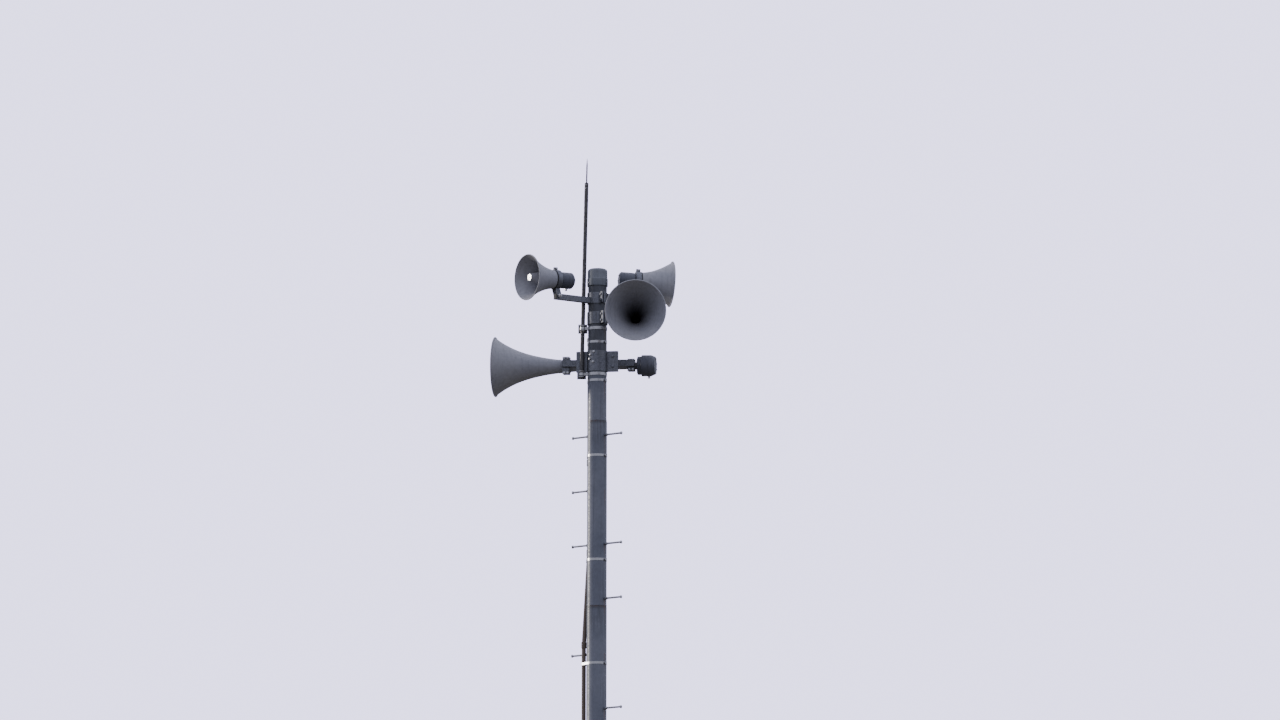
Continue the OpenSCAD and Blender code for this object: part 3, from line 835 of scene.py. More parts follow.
@dataclass(frozen=True)
class Bolt:
    """A hexagon bolt along Z. Its head's washer bears on z = 0, and its nut's on z = grip.

    Every field whose name ends in share is a share of the diameter.
    """

    d: float
    grip: float
    nut: bool = True
    corner_share: float = 0.92
    head_share: float = 0.64
    nut_share: float = 0.8
    chamfer_share: float = 0.07
    washer_share: float = 1.05
    washer_t_share: float = 0.16
    washer_edge_share: float = 0.03
    pitch_share: float = 0.14
    end_share: float = 0.55

    def thread(self, start: float, end: float) -> Outline:
        """Outline of the thread between two heights, tip last and on the axis.

        Args:
            start: Height where the thread starts.
            end: Height of the tip.

        Returns:
            Points of radius and height.
        """
        pitch, radius = self.pitch_share * self.d, self.d / 2
        root, tip = 0.88 * radius, 0.8 * radius
        crests = max(2, int((end - start) / pitch))
        points: Outline = [(0.0, start), (radius, start)]
        for i in range(crests):
            z = start + (end - start) * i / crests
            points += [(root, z + 0.4 * pitch), (radius, z + 0.8 * pitch)]
        return points + [(tip, end), (0.0, end)]

    def blank(self) -> Blank:
        """Shapes the bolt with its washers and its nut.

        Returns:
            The fastener.
        """
        d, washer_t = self.d, self.washer_t_share * self.d
        head_t, nut_t = self.head_share * d, self.nut_share * d
        corner_r, chamfer = self.corner_share * d, self.chamfer_share * d
        washer = Blank.bar(self.washer_share * d, washer_t, 28, self.washer_edge_share * d)
        made = Blank().stamped(washer, [moved(0, 0, -washer_t)])
        made.stamped(Blank.bar(corner_r, head_t, 6, chamfer), [moved(0, 0, -washer_t - head_t)])
        if self.nut:
            seat = self.grip + washer_t
            end = seat + nut_t
            made.stamped(washer, [moved(0, 0, self.grip)])
            made.stamped(Blank.bar(corner_r, nut_t, 6, chamfer), [moved(0, 0, seat)])
            made.stamped(Blank.lathed(self.thread(end - 0.1 * d, end + self.end_share * d), 18))
        return made.stamped(Blank.bar(d / 2, self.grip, 18))


@dataclass(frozen=True)
class CapScrew:
    """A socket head screw whose head stands on z = 0."""

    head_r: float
    head_t: float

    def blank(self) -> Blank:
        """Shapes the head with its socket.

        Returns:
            The screw's head.
        """
        r, top = self.head_r, self.head_t
        socket_r, ease, floor = 0.5 * r, 0.12 * r, top - 0.6 * top
        outline = [(0.0, 0.0), (r, 0.0), (r, top - ease), (r - ease, top)]
        outline += [(socket_r, top), (socket_r, floor), (0.0, floor)]
        return Blank.lathed(outline, 18)


@dataclass(frozen=True)
class Weld:
    """A run of weld, laid as drops that overlap."""

    width: float = 9 * MM
    step: float = 4.5 * MM

    def laid(self, runs: Sequence[Matrix]) -> Blank:
        """Lays a drop at each place.

        Args:
            runs: The places.

        Returns:
            The weld.
        """
        drop = Blank()
        bmesh.ops.create_icosphere(drop.bm, subdivisions=2, radius=self.width / 2)
        return drop.copied(runs)

    def line(self, start: Sequence[float], end: Sequence[float]) -> list[Matrix]:
        """Places the drops of a straight run.

        Args:
            start: One end.
            end: The other end.

        Returns:
            A place for each drop, which is pressed a little flat.
        """
        first, last = Vector(start), Vector(end)
        count = max(2, round((last - first).length / self.step))
        flat = Matrix.Diagonal((1, 1, 0.8, 1))
        return [Matrix.Translation(first.lerp(last, (i + 0.5) / count)) @ flat for i in range(count)]

    def ring(self, radius: float, z: float) -> list[Matrix]:
        """Places the drops of a run round the mast."""
        return ringed(round(2 * math.pi * radius / self.step), radius, z)

    def square(self, tube: Matrix) -> list[Matrix]:
        """Places the drops of a run round the end of an arm's square tube.

        Args:
            tube: The tube's frame where it meets a plate, with its X axis along it.

        Returns:
            A place for each drop.
        """
        half = ARM_W / 2
        corners = [(0, y * half, z * half) for y, z in ((-1, -1), (1, -1), (1, 1), (-1, 1))]
        sides = zip(corners, corners[1:] + corners[:1])
        return [tube @ place for side in sides for place in self.line(*side)]


# The mast


@dataclass
class MastWork:
    """What is added to the mast: cap, base anchors, welds, step bolts, band buckles and conduit."""

    height: float = 12500 * MM
    foot_r: float = 90 * MM
    head_r: float = 77.5 * MM
    below_head_r: float = 81 * MM
    growth: float = 1.5 * MM
    plate_t: float = 25 * MM
    anchor_spacing: float = 340 * MM
    anchor_d: float = 30 * MM
    gusset_l: float = 118 * MM
    gusset_h: float = 200 * MM
    gusset_t: float = 12 * MM
    cap_h: float = 146 * MM
    cap_skirt_h: float = 66 * MM
    cap_r: float = 81.3 * MM
    cap_skirt_r: float = 85.3 * MM
    cap_edge_r: float = 26 * MM
    cap_wall: float = 9 * MM
    step_levels: int = 20
    step_d: float = 16 * MM
    step_l: float = 158 * MM
    boss_l: float = 14 * MM
    head_bands: tuple[float, float] = (614 * MM, 932 * MM)
    band_h: float = 20 * MM
    band_t: float = 1.8 * MM
    buckle_heading: float = -26.0
    conduit_r: float = 18 * MM
    conduit_distance: float = 109.8 * MM
    conduit_low_azimuth: float = 161.5
    conduit_high_azimuth: float = 125.5
    conduit_low_z: float = 9389 * MM
    conduit_high_z: float = 10154 * MM
    conduit_top: float = 11940 * MM
    coupling_zs: tuple[float, float] = (3000 * MM, 10900 * MM)

    def radius_at(self, z: float) -> float:
        """Outer radius of the mast.

        Args:
            z: Height.

        Returns:
            The radius of the section at that height.
        """
        if z >= JOINT_Z:
            return self.head_r
        return self.below_head_r + self.growth * math.floor((JOINT_Z - z) / JOINT_PITCH)

    def cap(self) -> None:
        """Turns the rain cap, with a rolled lower edge, and its three set screws."""
        foot = self.height - self.cap_h
        step = foot + self.cap_skirt_h
        inner, roof = self.head_r + 0.3 * MM, self.height - self.cap_wall
        bead, shoulder, crown = 3 * MM, 7 * MM, self.cap_edge_r
        outline = [(0.0, roof), (inner, roof), (inner, foot + 2 * MM)]
        outline += arc((self.cap_skirt_r - bead, foot + bead), bead, 190, 360, 8)
        outline += arc((self.cap_skirt_r - shoulder, step - shoulder), shoulder, 0, 60, 5)
        outline += [(self.cap_r, step + 1 * MM)]
        outline += arc((self.cap_r - crown, self.height - crown), crown, 0, 90, 14)
        outline += [(0.0, self.height)]
        Blank.lathed(outline, 96).fitted("cap_shell", CAP_PAINT, replaces=["mast_cap"])
        lift = foot + self.cap_skirt_h / 2 - 4 * MM
        places = [place @ AGAINST_X for place in ringed(3, self.cap_skirt_r, lift, start=-150)]
        Bolt(8 * MM, 4 * MM, nut=False).blank().copied(places).fitted("cap_screws", STAINLESS)

    def anchors(self) -> None:
        """Makes the ends of the anchor bolts, with a washer and two nuts each."""
        d, washer_t = self.anchor_d, 5 * MM
        nut_t, seat = 0.8 * d, self.plate_t + washer_t
        anchor = Blank.bar(0.95 * d, washer_t, 40, 1 * MM).placed(moved(0, 0, self.plate_t))
        nut_places = [moved(0, 0, seat), moved(0, 0, seat + 0.5 * MM + nut_t)]
        anchor.stamped(Blank.bar(0.9 * d, nut_t, 6, 0.06 * d), nut_places)
        stud = seat + 1.55 * d
        anchor.stamped(Blank.lathed(Bolt(d, self.plate_t).thread(stud, stud + 0.9 * d), 24))
        anchor.stamped(Blank.bar(d / 2, self.plate_t + 4 * MM, 24), [moved(0, 0, 1 * MM)])
        half = self.anchor_spacing / 2
        places = [moved(x * half, y * half, 0) for x in (-1, 1) for y in (-1, 1)]
        anchor.copied(places).fitted("anchor_nuts", ZINC)

    def foot_welds(self) -> None:
        """Lays the welds round the mast's foot and along both sides of each gusset."""
        weld = Weld()
        foot, r = self.plate_t, self.foot_r
        runs = weld.ring(r, foot)
        for quarter in range(4):
            for y in (-self.gusset_t / 2, self.gusset_t / 2):
                along = weld.line((r + 2 * MM, y, foot), (r + self.gusset_l, y, foot))
                up = weld.line((r, y, foot), (r, y, foot + self.gusset_h))
                runs += [turned("Z", 90 * quarter) @ place for place in along + up]
        weld.laid(runs).fitted("foot_welds", MAST_PAINT)

    def step_places(self) -> list[Matrix]:
        """Frames of the step bolts on the ends of their bosses, with Z outwards.

        Returns:
            A frame for each step bolt. The sides take turns from the left down, and two levels have both.
        """
        places: list[Matrix] = []
        for level in range(self.step_levels):
            z = STEP_Z - level * STEP_PITCH
            both = level in (0, 2)
            left = both or level == 1 or level % 2 == 0
            right = both or not left
            for wanted, heading in ((left, 180.0), (right, 0.0)):
                if wanted:
                    out = moved(self.radius_at(z) + self.boss_l, 0, 0)
                    places.append(mast_frame(heading - STEP_YAW, z) @ out @ ALONG_X)
        return places

    def step_bolts(self) -> None:
        """Makes the step bolts: a lock nut and washer on the boss, a bare shank and a wide round head."""
        r, end, washer_t, edge = self.step_d / 2, self.step_l, 1.6 * MM, 3 * MM
        bolt = Blank().stamped(Blank.bar(r + 4 * MM, washer_t, 28, 0.4 * MM))
        bolt.stamped(Blank.bar(r + 4.6 * MM, 9 * MM, 6, 1 * MM), [moved(0, 0, washer_t)])
        bolt.stamped(Blank.lathed(Bolt(self.step_d, 0).thread(8 * MM, 24 * MM), 20))
        shank = [(0.0, -18 * MM), (r, -18 * MM), (r, end - 12 * MM), (r + 5 * MM, end - 8 * MM)]
        shank += arc((13 * MM - edge, end - edge), edge, 0, 90, 4) + [(0.0, end)]
        bolt.stamped(Blank.lathed(shank, 24))
        bolt.copied(self.step_places()).fitted("climbing_bolts", STAINLESS, replaces=["step_bolts"])

    def conduit_at(self, z: float) -> Vector:
        """Middle of the conduit at a height.

        Args:
            z: Height.

        Returns:
            The point.
        """
        low, high = (
            self.conduit_distance * Vector((math.cos(math.radians(a)), math.sin(math.radians(a))))
            for a in (self.conduit_low_azimuth, self.conduit_high_azimuth)
        )
        share = min(1.0, max(0.0, (z - self.conduit_low_z) / (self.conduit_high_z - self.conduit_low_z)))
        return low.lerp(high, share).to_3d() + Vector((0, 0, z))

    def conduit_pipe(self) -> None:
        """Makes the conduit's pipe, mitred where it slants across the mast."""
        heights = (self.plate_t, self.conduit_low_z, self.conduit_high_z, self.conduit_top - 20 * MM)
        curve = bpy.data.curves.new("conduit_route", "CURVE")
        curve.dimensions = "3D"
        curve.bevel_depth = self.conduit_r
        curve.bevel_resolution = 6
        curve.use_fill_caps = True
        line = curve.splines.new("POLY")
        line.points.add(len(heights) - 1)
        for point, z in zip(line.points, heights):
            point.co = (*self.conduit_at(z), 1.0)
        sketch = bpy.data.objects.new("conduit_sketch", curve)
        mesh = bpy.data.meshes.new_from_object(sketch)
        pipe = Blank()
        pipe.bm.from_mesh(mesh)
        bpy.data.objects.remove(sketch)
        bpy.data.meshes.remove(mesh)
        pipe.healed().fitted("conduit_pipe", CONDUIT, replaces=["conduit"])

    def conduit_fittings(self) -> None:
        """Makes the conduit's ribbed couplings, its foot flange and its hooded top."""
        r = self.conduit_r
        bore, half, lip = r - 1 * MM, 25 * MM, 1.5 * MM
        rim, rib_r, groove_r = r + 4 * MM - lip, r + 4 * MM, r + 3 * MM
        coupling = [(bore, -half)] + arc((rim, lip - half), lip, 270, 360, 3)
        rib = [(rib_r, -2 * MM), (groove_r, -1 * MM), (groove_r, 1 * MM), (rib_r, 2 * MM)]
        for z in (-14 * MM, -7 * MM, 0, 7 * MM, 14 * MM):
            coupling += [(radius, z + lift) for radius, lift in rib]
        coupling += arc((rim, half - lip), lip, 0, 90, 3) + [(bore, half)]
        flange = [(bore, 0), (r + 12 * MM, 0), (r + 12 * MM, 3 * MM)]
        flange += [(r + 5 * MM, 5 * MM), (rib_r, 24 * MM), (bore, 25 * MM)]
        hood = [(0.0, -34 * MM), (rib_r, -34 * MM), (rib_r, -10 * MM)]
        hood += arc((r - 4 * MM, -8 * MM), 8 * MM, 0, 90, 6) + [(0.0, 0.0)]
        heights = (self.conduit_low_z, self.conduit_high_z, JOINT_Z - 3 * JOINT_PITCH, *self.coupling_zs)
        fittings = Blank()
        for outline, zs in ((coupling, heights), (flange, [self.plate_t]), (hood, [self.conduit_top])):
            fittings.stamped(Blank.lathed(outline, 40), [Matrix.Translation(self.conduit_at(z)) for z in zs])
        fittings.fitted("conduit_fittings", CONDUIT)

    def band_heights(self) -> list[float]:
        """Heights of the stainless bands.

        Returns:
            Heights from the top down: two at the head, then one below every other step.
        """
        drops = {0: 169 * MM, 2: 129 * MM} | {level: 80 * MM for level in range(4, 23, 2)}
        heights = [self.height - drop for drop in self.head_bands]
        return heights + [STEP_Z - level * STEP_PITCH - drop for level, drop in drops.items()]

    def buckles(self) -> None:
        """Makes a buckle on each band, with its folded ears and the band's cut tail."""
        plate = Blank.block(5 * MM, 17 * MM, self.band_h + 6 * MM, 1.2 * MM)
        ear = Blank.block(4 * MM, 15 * MM, 5 * MM, 1 * MM)
        tail = Blank.block(1.2 * MM, 26 * MM, self.band_h - 3 * MM, 0.3 * MM)
        lift = self.band_h / 2 - 1 * MM
        clip = plate.placed(moved(2 * MM, 0, 0))
        clip.stamped(ear, [moved(5 * MM, 0, -lift), moved(5 * MM, 0, lift)])
        clip.stamped(tail, [moved(4 * MM, -17 * MM, -1 * MM) @ turned("Z", 14) @ turned("X", 5)])
        places = [
            mast_frame(self.buckle_heading, z) @ moved(self.radius_at(z) + self.band_t, 0, 0)
            for z in self.band_heights()
        ]
        clip.copied(places).fitted("band_buckles", STAINLESS)

    def build(self) -> None:
        """Makes everything that is added to the mast."""
        self.cap()
        self.anchors()
        self.foot_welds()
        self.step_bolts()
        self.conduit_pipe()
        self.conduit_fittings()
        self.buckles()


@dataclass
class LightningRod:
    """The fasteners of the lightning rod's pipe and needle."""

    foot: Vector
    lean: float = 1.3
    pipe_r: float = 17 * MM
    pipe_l: float = 1570 * MM
    eye_back: float = 6.2 * MM
    bracket_z: tuple[float, float] = (12000 * MM, 11620 * MM)
    bolt_d: float = 8 * MM
    bolt_pitch: float = 46 * MM
    plate_w: float = 74 * MM
    plate_t: float = 5 * MM

    def pipe_at(self, z: float) -> Matrix:
        """A shift to the middle of the pipe at a height."""
        rise = z - self.foot.z
        return Matrix.Translation(self.foot + Vector((rise * math.tan(math.radians(self.lean)), 0, rise)))

    def brackets(self) -> None:
        """Makes each bracket's backing plate and the two U-bolts that hold the pipe against it."""
        nut_t, washer_t = 0.8 * self.bolt_d, 1.4 * MM
        bend = self.pipe_r + self.bolt_d / 2 + 0.3 * MM
        reach = self.pipe_r + 26 * MM
        front = self.pipe_r + self.eye_back
        seat = -front - self.plate_t - washer_t
        bow = Blank.bent_rod(self.bolt_d / 2, bend, reach).placed(moved(0, 0, -reach))
        nut = Blank.bar(0.92 * self.bolt_d, nut_t, 6, 0.6 * MM)
        washer = Blank.bar(1.1 * self.bolt_d, washer_t, 24, 0.3 * MM)
        for x in (-bend, bend):
            bow.stamped(washer, [moved(x, 0, seat)]).stamped(nut, [moved(x, 0, seat - nut_t)])
        plate = Blank.block(self.plate_w, self.plate_t, self.bolt_pitch + 30 * MM, 1.2 * MM)
        plate_places = [self.pipe_at(z) @ moved(0, front + self.plate_t / 2, 0) for z in self.bracket_z]
        plate.copied(plate_places).fitted("rod_backing_plates", ZINC)
        # The bow faces the front
        lifts = (-self.bolt_pitch / 2, self.bolt_pitch / 2)
        bow_places = [self.pipe_at(z + lift) @ turned("X", 90) for z in self.bracket_z for lift in lifts]
        bow.copied(bow_places).fitted("rod_u_bolts", STAINLESS)

    def collar(self) -> None:
        """Makes the set screws of the needle's holder and the plug in the pipe's foot."""
        pipe = Matrix.Translation(self.foot) @ turned("Y", self.lean)
        places = [
            pipe @ moved(0, 0, self.pipe_l) @ turned("Z", azimuth) @ moved(16 * MM, 0, z * MM) @ ALONG_X
            for azimuth in (-100, 80)
            for z in (18, 44)
        ]
        CapScrew(4 * MM, 4 * MM).blank().copied(places).fitted("needle_set_screws", STAINLESS)
        bore, rim = self.pipe_r - 3 * MM, self.pipe_r - 1 * MM
        plug = [(0.0, -6 * MM), (bore, -6 * MM), (bore, -0.5 * MM)]
        plug += [(rim, -0.5 * MM), (rim, 0.0), (0.0, 0.5 * MM)]
        Blank.lathed(plug, 32).placed(pipe @ turned("X", 180)).fitted("pipe_foot_plug", RUBBER)

    def build(self) -> None:
        """Makes everything that is added to the rod."""
        self.brackets()
        self.collar()


@dataclass
class Clamp:
    """A split clamp on the mast and the bolts through its ears."""

    name: str
    z: float
    height: float
    ears: tuple[float, float]
    ear_l: float = 52 * MM
    grip: float = 28 * MM
    bolt_d: float = 12 * MM

    def build(self) -> None:
        """Makes two bolts through each pair of ears."""
        places = [
            mast_frame(azimuth, self.z + lift) @ moved(CLAMP_R + self.ear_l / 2, -self.grip / 2, 0) @ ALONG_Y
            for azimuth in self.ears
            for lift in (-self.height / 4, self.height / 4)
        ]
        bolt = Bolt(self.bolt_d, self.grip).blank()
        bolt.copied(places).fitted(f"{self.name}_clamp_bolts", ZINC)


@dataclass
class ArmWork:
    """The welds and end plugs of the four arms, and the rear clamp's set screws.

    Short arms are given by heading, height and length, and long arms by heading and height.
    """

    wall: float = 5 * MM
    flange_at: float = 221 * MM
    short_arms: tuple[tuple[float, float, float], ...] = (
        (214, 12230 * MM, 414 * MM),
        (10.7, 12270 * MM, 335 * MM),
    )
    long_arms: tuple[tuple[float, float], ...] = ((0, 12076 * MM), (81.5, 11757 * MM))
    set_screws: tuple[tuple[float, float], ...] = (
        (-110, 11800 * MM),
        (-131, 11777 * MM),
        (-136, 11742 * MM),
        (-114, 11716 * MM),
    )

    def welds(self) -> None:
        """Lays the welds of the arms on their clamps and on the flanges of the long horns."""
        weld = Weld(7 * MM, 4 * MM)
        clamp = CLAMP_R - 3 * MM
        ends = [(heading, z, clamp) for heading, z, _ in self.short_arms]
        ends += [(heading, z, out) for heading, z in self.long_arms for out in (clamp, self.flange_at)]
        runs = [weld.square(mast_frame(heading, z) @ moved(out, 0, 0)) for heading, z, out in ends]
        weld.laid(sum(runs, [])).fitted("arm_welds", MAST_PAINT)

    def plugs(self) -> None:
        """Makes the plugs in the open ends of the short arms."""
        hole, lid = ARM_W - 2 * self.wall - 0.6 * MM, ARM_W - 1 * MM
        stopper = Blank.block(10 * MM, hole, hole, 1 * MM).placed(moved(-4.5 * MM, 0, 0))
        stopper.stamped(Blank.block(3 * MM, lid, lid, 1.2 * MM), [moved(1.8 * MM, 0, 0)])
        places = [mast_frame(heading, z) @ moved(end, 0, 0) for heading, z, end in self.short_arms]
        stopper.copied(places).fitted("arm_end_plugs", RUBBER)

    def clamp_screws(self) -> None:
        """Makes the set screws of the rear clamp."""
        out = moved(CLAMP_R + 0.5 * MM, 0, 0) @ AGAINST_X
        places = [mast_frame(azimuth, z) @ out for azimuth, z in self.set_screws]
        Bolt(10 * MM, 5 * MM, nut=False).blank().copied(places).fitted("rear_clamp_set_screws", STAINLESS)

    def build(self) -> None:
        """Makes everything that is added to the arms."""
        self.welds()
        self.plugs()
        self.clamp_screws()


# The horns


@dataclass
class Driver:
    """A driver housing. Distances run back from the horn's mouth along Z."""

    neck: Outline
    radius: float
    front: float
    length: float
    bevel: float
    taper_l: float
    screws: int = 6

    def shell(self) -> Blank:
        """Turns the housing, with rounded edges, a rim line and a dished back.

        Returns:
            The housing along the axis.
        """
        r, back = self.radius, self.front + self.length
        end_r, groove_r = r - self.bevel, r - 1.5 * MM
        dish, floor = end_r - 16 * MM, back - 2.5 * MM
        line = back - self.taper_l - 20 * MM
        points = [(0.0, self.neck[0][1]), *self.neck]
        points += arc((r - 3 * MM, self.front + 9 * MM), 3 * MM, 270, 360, 4)
        points += [(r, line), (groove_r, line + 0.8 * MM), (groove_r, line + 3 * MM), (r, line + 3.8 * MM)]
        points += [(r, back - self.taper_l), (end_r + 1 * MM, back - 1.5 * MM), (end_r - 1 * MM, back)]
        points += [(dish, back), (dish - 2 * MM, floor), (0.0, floor)]
        return Blank.lathed(points, 96)

    def fittings(self) -> Blank:
        """Shapes the back's screws and the cable gland on the underside.

        Returns:
            The fittings along the axis.
        """
        ring, back = self.radius - self.bevel - 8 * MM, self.front + self.length
        screw = CapScrew(4.5 * MM, 4 * MM).blank()
        made = screw.copied(ringed(self.screws, ring, back, start=FULL_TURN / 2 / self.screws))
        gland = UNDERSIDE @ moved(self.radius - 1 * MM, 0, self.front + self.length * 0.55) @ ALONG_X
        made.stamped(Blank.bar(13 * MM, 7 * MM, 6, 1 * MM), [gland])
        nose = [(0.0, 6 * MM), (9.5 * MM, 6 * MM), (9.5 * MM, 17 * MM)]
        nose += arc((6.5 * MM, 17 * MM), 3 * MM, 0, 70, 4)
        nose += [(4 * MM, 21 * MM), (4 * MM, 17 * MM), (0.0, 17 * MM)]
        return made.stamped(Blank.lathed(nose, 24), [gland])


@dataclass(kw_only=True)
class Horn:
    """What both kinds of horn share. Distances run back from the mouth."""

    side: str
    body: Body
    heading: float
    pivot_z: float
    tilt: float
    mouth_r: float
    mouth_x: float
    axis_y: float
    axis_z: float
    driver_r: float
    driver_l: float
    wall: float = 3 * MM
    rim_r: float = 5 * MM
    pivot_d: float = 16 * MM

    @property
    def place(self) -> Matrix:
        """The horn's frame: its origin on the pivot, its X axis towards the mouth."""
        raise NotImplementedError

    @property
    def axis(self) -> Matrix:
        """The horn's axis: Z runs back from the mouth's middle."""
        return self.place @ moved(self.mouth_x, self.axis_y, self.axis_z) @ AGAINST_X

    def fit(self, made: Blank, name: str, finish: Finish, *nodes: str) -> None:
        """Fits a piece that is in its place. Its name and its nodes get the horn's side in front."""
        made.fitted(f"{self.side}_{name}", finish, self.body, [f"{self.side}_{node}" for node in nodes])

    def fit_along(self, made: Blank, name: str, finish: Finish, *nodes: str) -> None:
        """Fits a piece that was shaped along the axis, as fit does."""
        self.fit(made.placed(self.axis), name, finish, *nodes)

    def rim(self) -> Outline:
        """Outline of the rolled rim round the mouth."""
        return arc((self.mouth_r - 2 * MM, self.rim_r), self.rim_r, 165, 465, 18)

    def cross_bolt(self, start: float, grip: float) -> Blank:
        """The pivot's bolt in its place, through what stands between start and start + grip along Y."""
        return Bolt(self.pivot_d, grip).blank().placed(self.place @ moved(0, start, 0) @ ALONG_Y)


@dataclass(kw_only=True)
class ShortHorn(Horn):
    """A folded horn: a bell, a bullet in its middle, a throat tube and a driver, held by a strap."""

    reach: float
    mouth_r: float = 187 * MM
    mouth_x: float = 300 * MM
    axis_y: float = 0.0
    axis_z: float = 136 * MM
    driver_r: float = 67 * MM
    driver_l: float = 130 * MM
    driver_front: float = 310 * MM
    neck_r: float = 76 * MM
    neck_end: float = 305 * MM
    flare_l: float = 268 * MM
    flare_power: float = 1.77
    nose_r: float = 30 * MM
    nose_d: float = 27 * MM
    bullet_r: float = 58 * MM
    bullet_end: float = 222 * MM
    bullet_wall: float = 2.5 * MM
    rib_start: float = 92 * MM
    rib_end: float = 140 * MM
    throat_r: float = 20 * MM
    throat_tip: float = 78 * MM
    strap_x: float = 17 * MM
    strap_w: float = 42 * MM
    strap_r: float = 81.3 * MM
    cheek_t: float = 6 * MM

    @property
    def place(self) -> Matrix:
        """The horn's frame: its origin on the pivot, its X axis towards the mouth."""
        return mast_frame(self.heading, self.pivot_z) @ moved(self.reach, 0, 0) @ turned("Y", self.tilt)

    def bell_r(self, d: float) -> float:
        """Outer radius of the bell at distance d."""
        share = max(0.0, 1 - d / self.flare_l) ** self.flare_power
        return self.neck_r + (self.mouth_r - self.neck_r) * share

    def bullet_at(self, d: float) -> float:
        """Outer radius of the bullet at distance d."""
        share = (d - self.nose_d) / (self.bullet_end - self.nose_d)
        return self.nose_r + (self.bullet_r - self.nose_r) * math.sin(math.radians(90 * share))

    def bell(self) -> None:
        """Turns the bell with its rolled rim and the stiffening bead on its neck."""
        inner, outer = walls(self.bell_r, spread(10 * MM, self.flare_l, 44, 1.15), self.wall)
        bead = arc((self.neck_r, self.neck_end - 26 * MM), 2.2 * MM, -90, 90, 6)
        ends = [(self.neck_r, self.neck_end), (self.neck_r - self.wall, self.neck_end)]
        made = Blank.lathed(inner + self.rim() + outer + bead + ends, 112)
        self.fit_along(made, "bell_skin", HORN_PAINT, "bell")

    def bullet(self) -> None:
        """Turns the bullet, a shell with a round nose, and sets the three ribs that hold it."""
        front, edge, floor = self.nose_d, 5 * MM, self.nose_d + 12 * MM
        inner, outer = walls(self.bullet_at, spread(front + edge, self.bullet_end, 30), self.bullet_wall)
        nose = [(0.0, front - 1.5 * MM), (12 * MM, front - 1 * MM), (self.nose_r - edge, front)]
        nose += arc((self.nose_r - edge, front + edge), edge, -75, -10, 5)
        inner = [point for point in inner if point[1] > floor + 2 * MM]
        made = Blank.lathed(nose + outer + inner + [(self.nose_r - 8 * MM, floor), (0.0, floor)], 80)
        foot = self.throat_r + 0.3 * MM
        rib_h = self.bullet_at(self.rib_start) - self.bullet_wall / 2 - foot
        rib = Blank.block(rib_h, 4 * MM, self.rib_end - self.rib_start, 0.6 * MM)
        made.stamped(rib, ringed(3, foot + rib_h / 2, (self.rib_start + self.rib_end) / 2))
        self.fit_along(made, "bullet_skin", HORN_PAINT, "bullet")

    def nose_plate(self) -> None:
        """Turns the bright plate on the bullet's nose and sets its screw."""
        r = self.nose_r - 2 * MM
        plate = [(0.0, 3 * MM), (r - 1 * MM, 3 * MM), (r, 1.5 * MM), (r - 1 * MM, 0.6 * MM)]
        made = Blank.lathed(plate + [(r / 2, 0.1 * MM), (0.0, 0.0)], 64)
        made.stamped(CapScrew(5 * MM, 2.5 * MM).blank(), [moved(0, 0, 0.4 * MM) @ turned("X", 180)])
        self.fit(made.placed(self.axis @ moved(0, 0, self.nose_d - 2.5 * MM)), "nose_plate", STAINLESS)

    def throat(self) -> None:
        """Turns the throat tube with its flare into the neck's closing plate."""
        bore, tip, lip, sweep = self.throat_r - 3 * MM, self.throat_tip, 1.5 * MM, 24 * MM
        plate_front, plate_r = self.neck_end - 5 * MM, self.neck_r - self.wall - 0.3 * MM
        outline = [(bore, tip + 1 * MM)] + arc((bore + lip, tip + lip), lip, 200, 350, 5)
        outline += [(self.throat_r, tip + 3 * MM)]
        outline += arc((self.throat_r + sweep, plate_front - sweep), sweep, 180, 90, 9)
        outline += [(plate_r, plate_front), (plate_r, self.neck_end), (bore, self.neck_end)]
        self.fit_along(Blank.lathed(outline, 72), "throat_tube", DRIVER_PAINT, "throat")

    def driver(self) -> None:
        """Makes the driver with its back screws and cable gland."""
        seat, front = self.driver_r - 12 * MM, self.driver_front
        neck = [(seat, self.neck_end + 0.3 * MM), (seat, front + 6 * MM)]
        unit = Driver(neck, self.driver_r, front, self.driver_l, bevel=14 * MM, taper_l=14 * MM)
        self.fit_along(unit.shell(), "driver_shell", DRIVER_PAINT, "driver")
        self.fit_along(unit.fittings(), "driver_fittings", STAINLESS)

    def strap(self) -> None:
        """Adds the strap's rubber liner and its pinch lugs with their bolt."""
        inner, edge = self.neck_r + 0.2 * MM, self.mouth_x - self.strap_x - self.strap_w / 2
        outer, end = inner + 3.5 * MM, edge - 0.3 * MM
        liner = [(inner, edge - 9 * MM), (outer, edge - 8 * MM), (outer, end), (inner, end)]
        self.fit_along(Blank.lathed(liner, 72), "strap_liner", LINER)
        top = self.place @ moved(self.strap_x, 0, self.axis_z + self.strap_r + 9 * MM)
        lug = Blank.block(self.strap_w - 8 * MM, 4 * MM, 24 * MM, 1.2 * MM)
        self.fit(lug.copied([top @ moved(0, y, 0) for y in (-6 * MM, 6 * MM)]), "strap_lugs", ZINC)
        bolt = Bolt(8 * MM, 16 * MM).blank()
        self.fit(bolt.placed(top @ moved(0, -8 * MM, 1 * MM) @ ALONG_Y), "strap_bolt", STAINLESS)

    def pivot(self) -> Blank:
        """The bolt through the cheeks and the arm."""
        half = ARM_W / 2 + self.cheek_t
        return self.cross_bolt(-half, 2 * half)

    def build(self) -> None:
        """Makes the whole horn."""
        self.bell()
        self.bullet()
        self.nose_plate()
        self.throat()
        self.driver()
        self.strap()


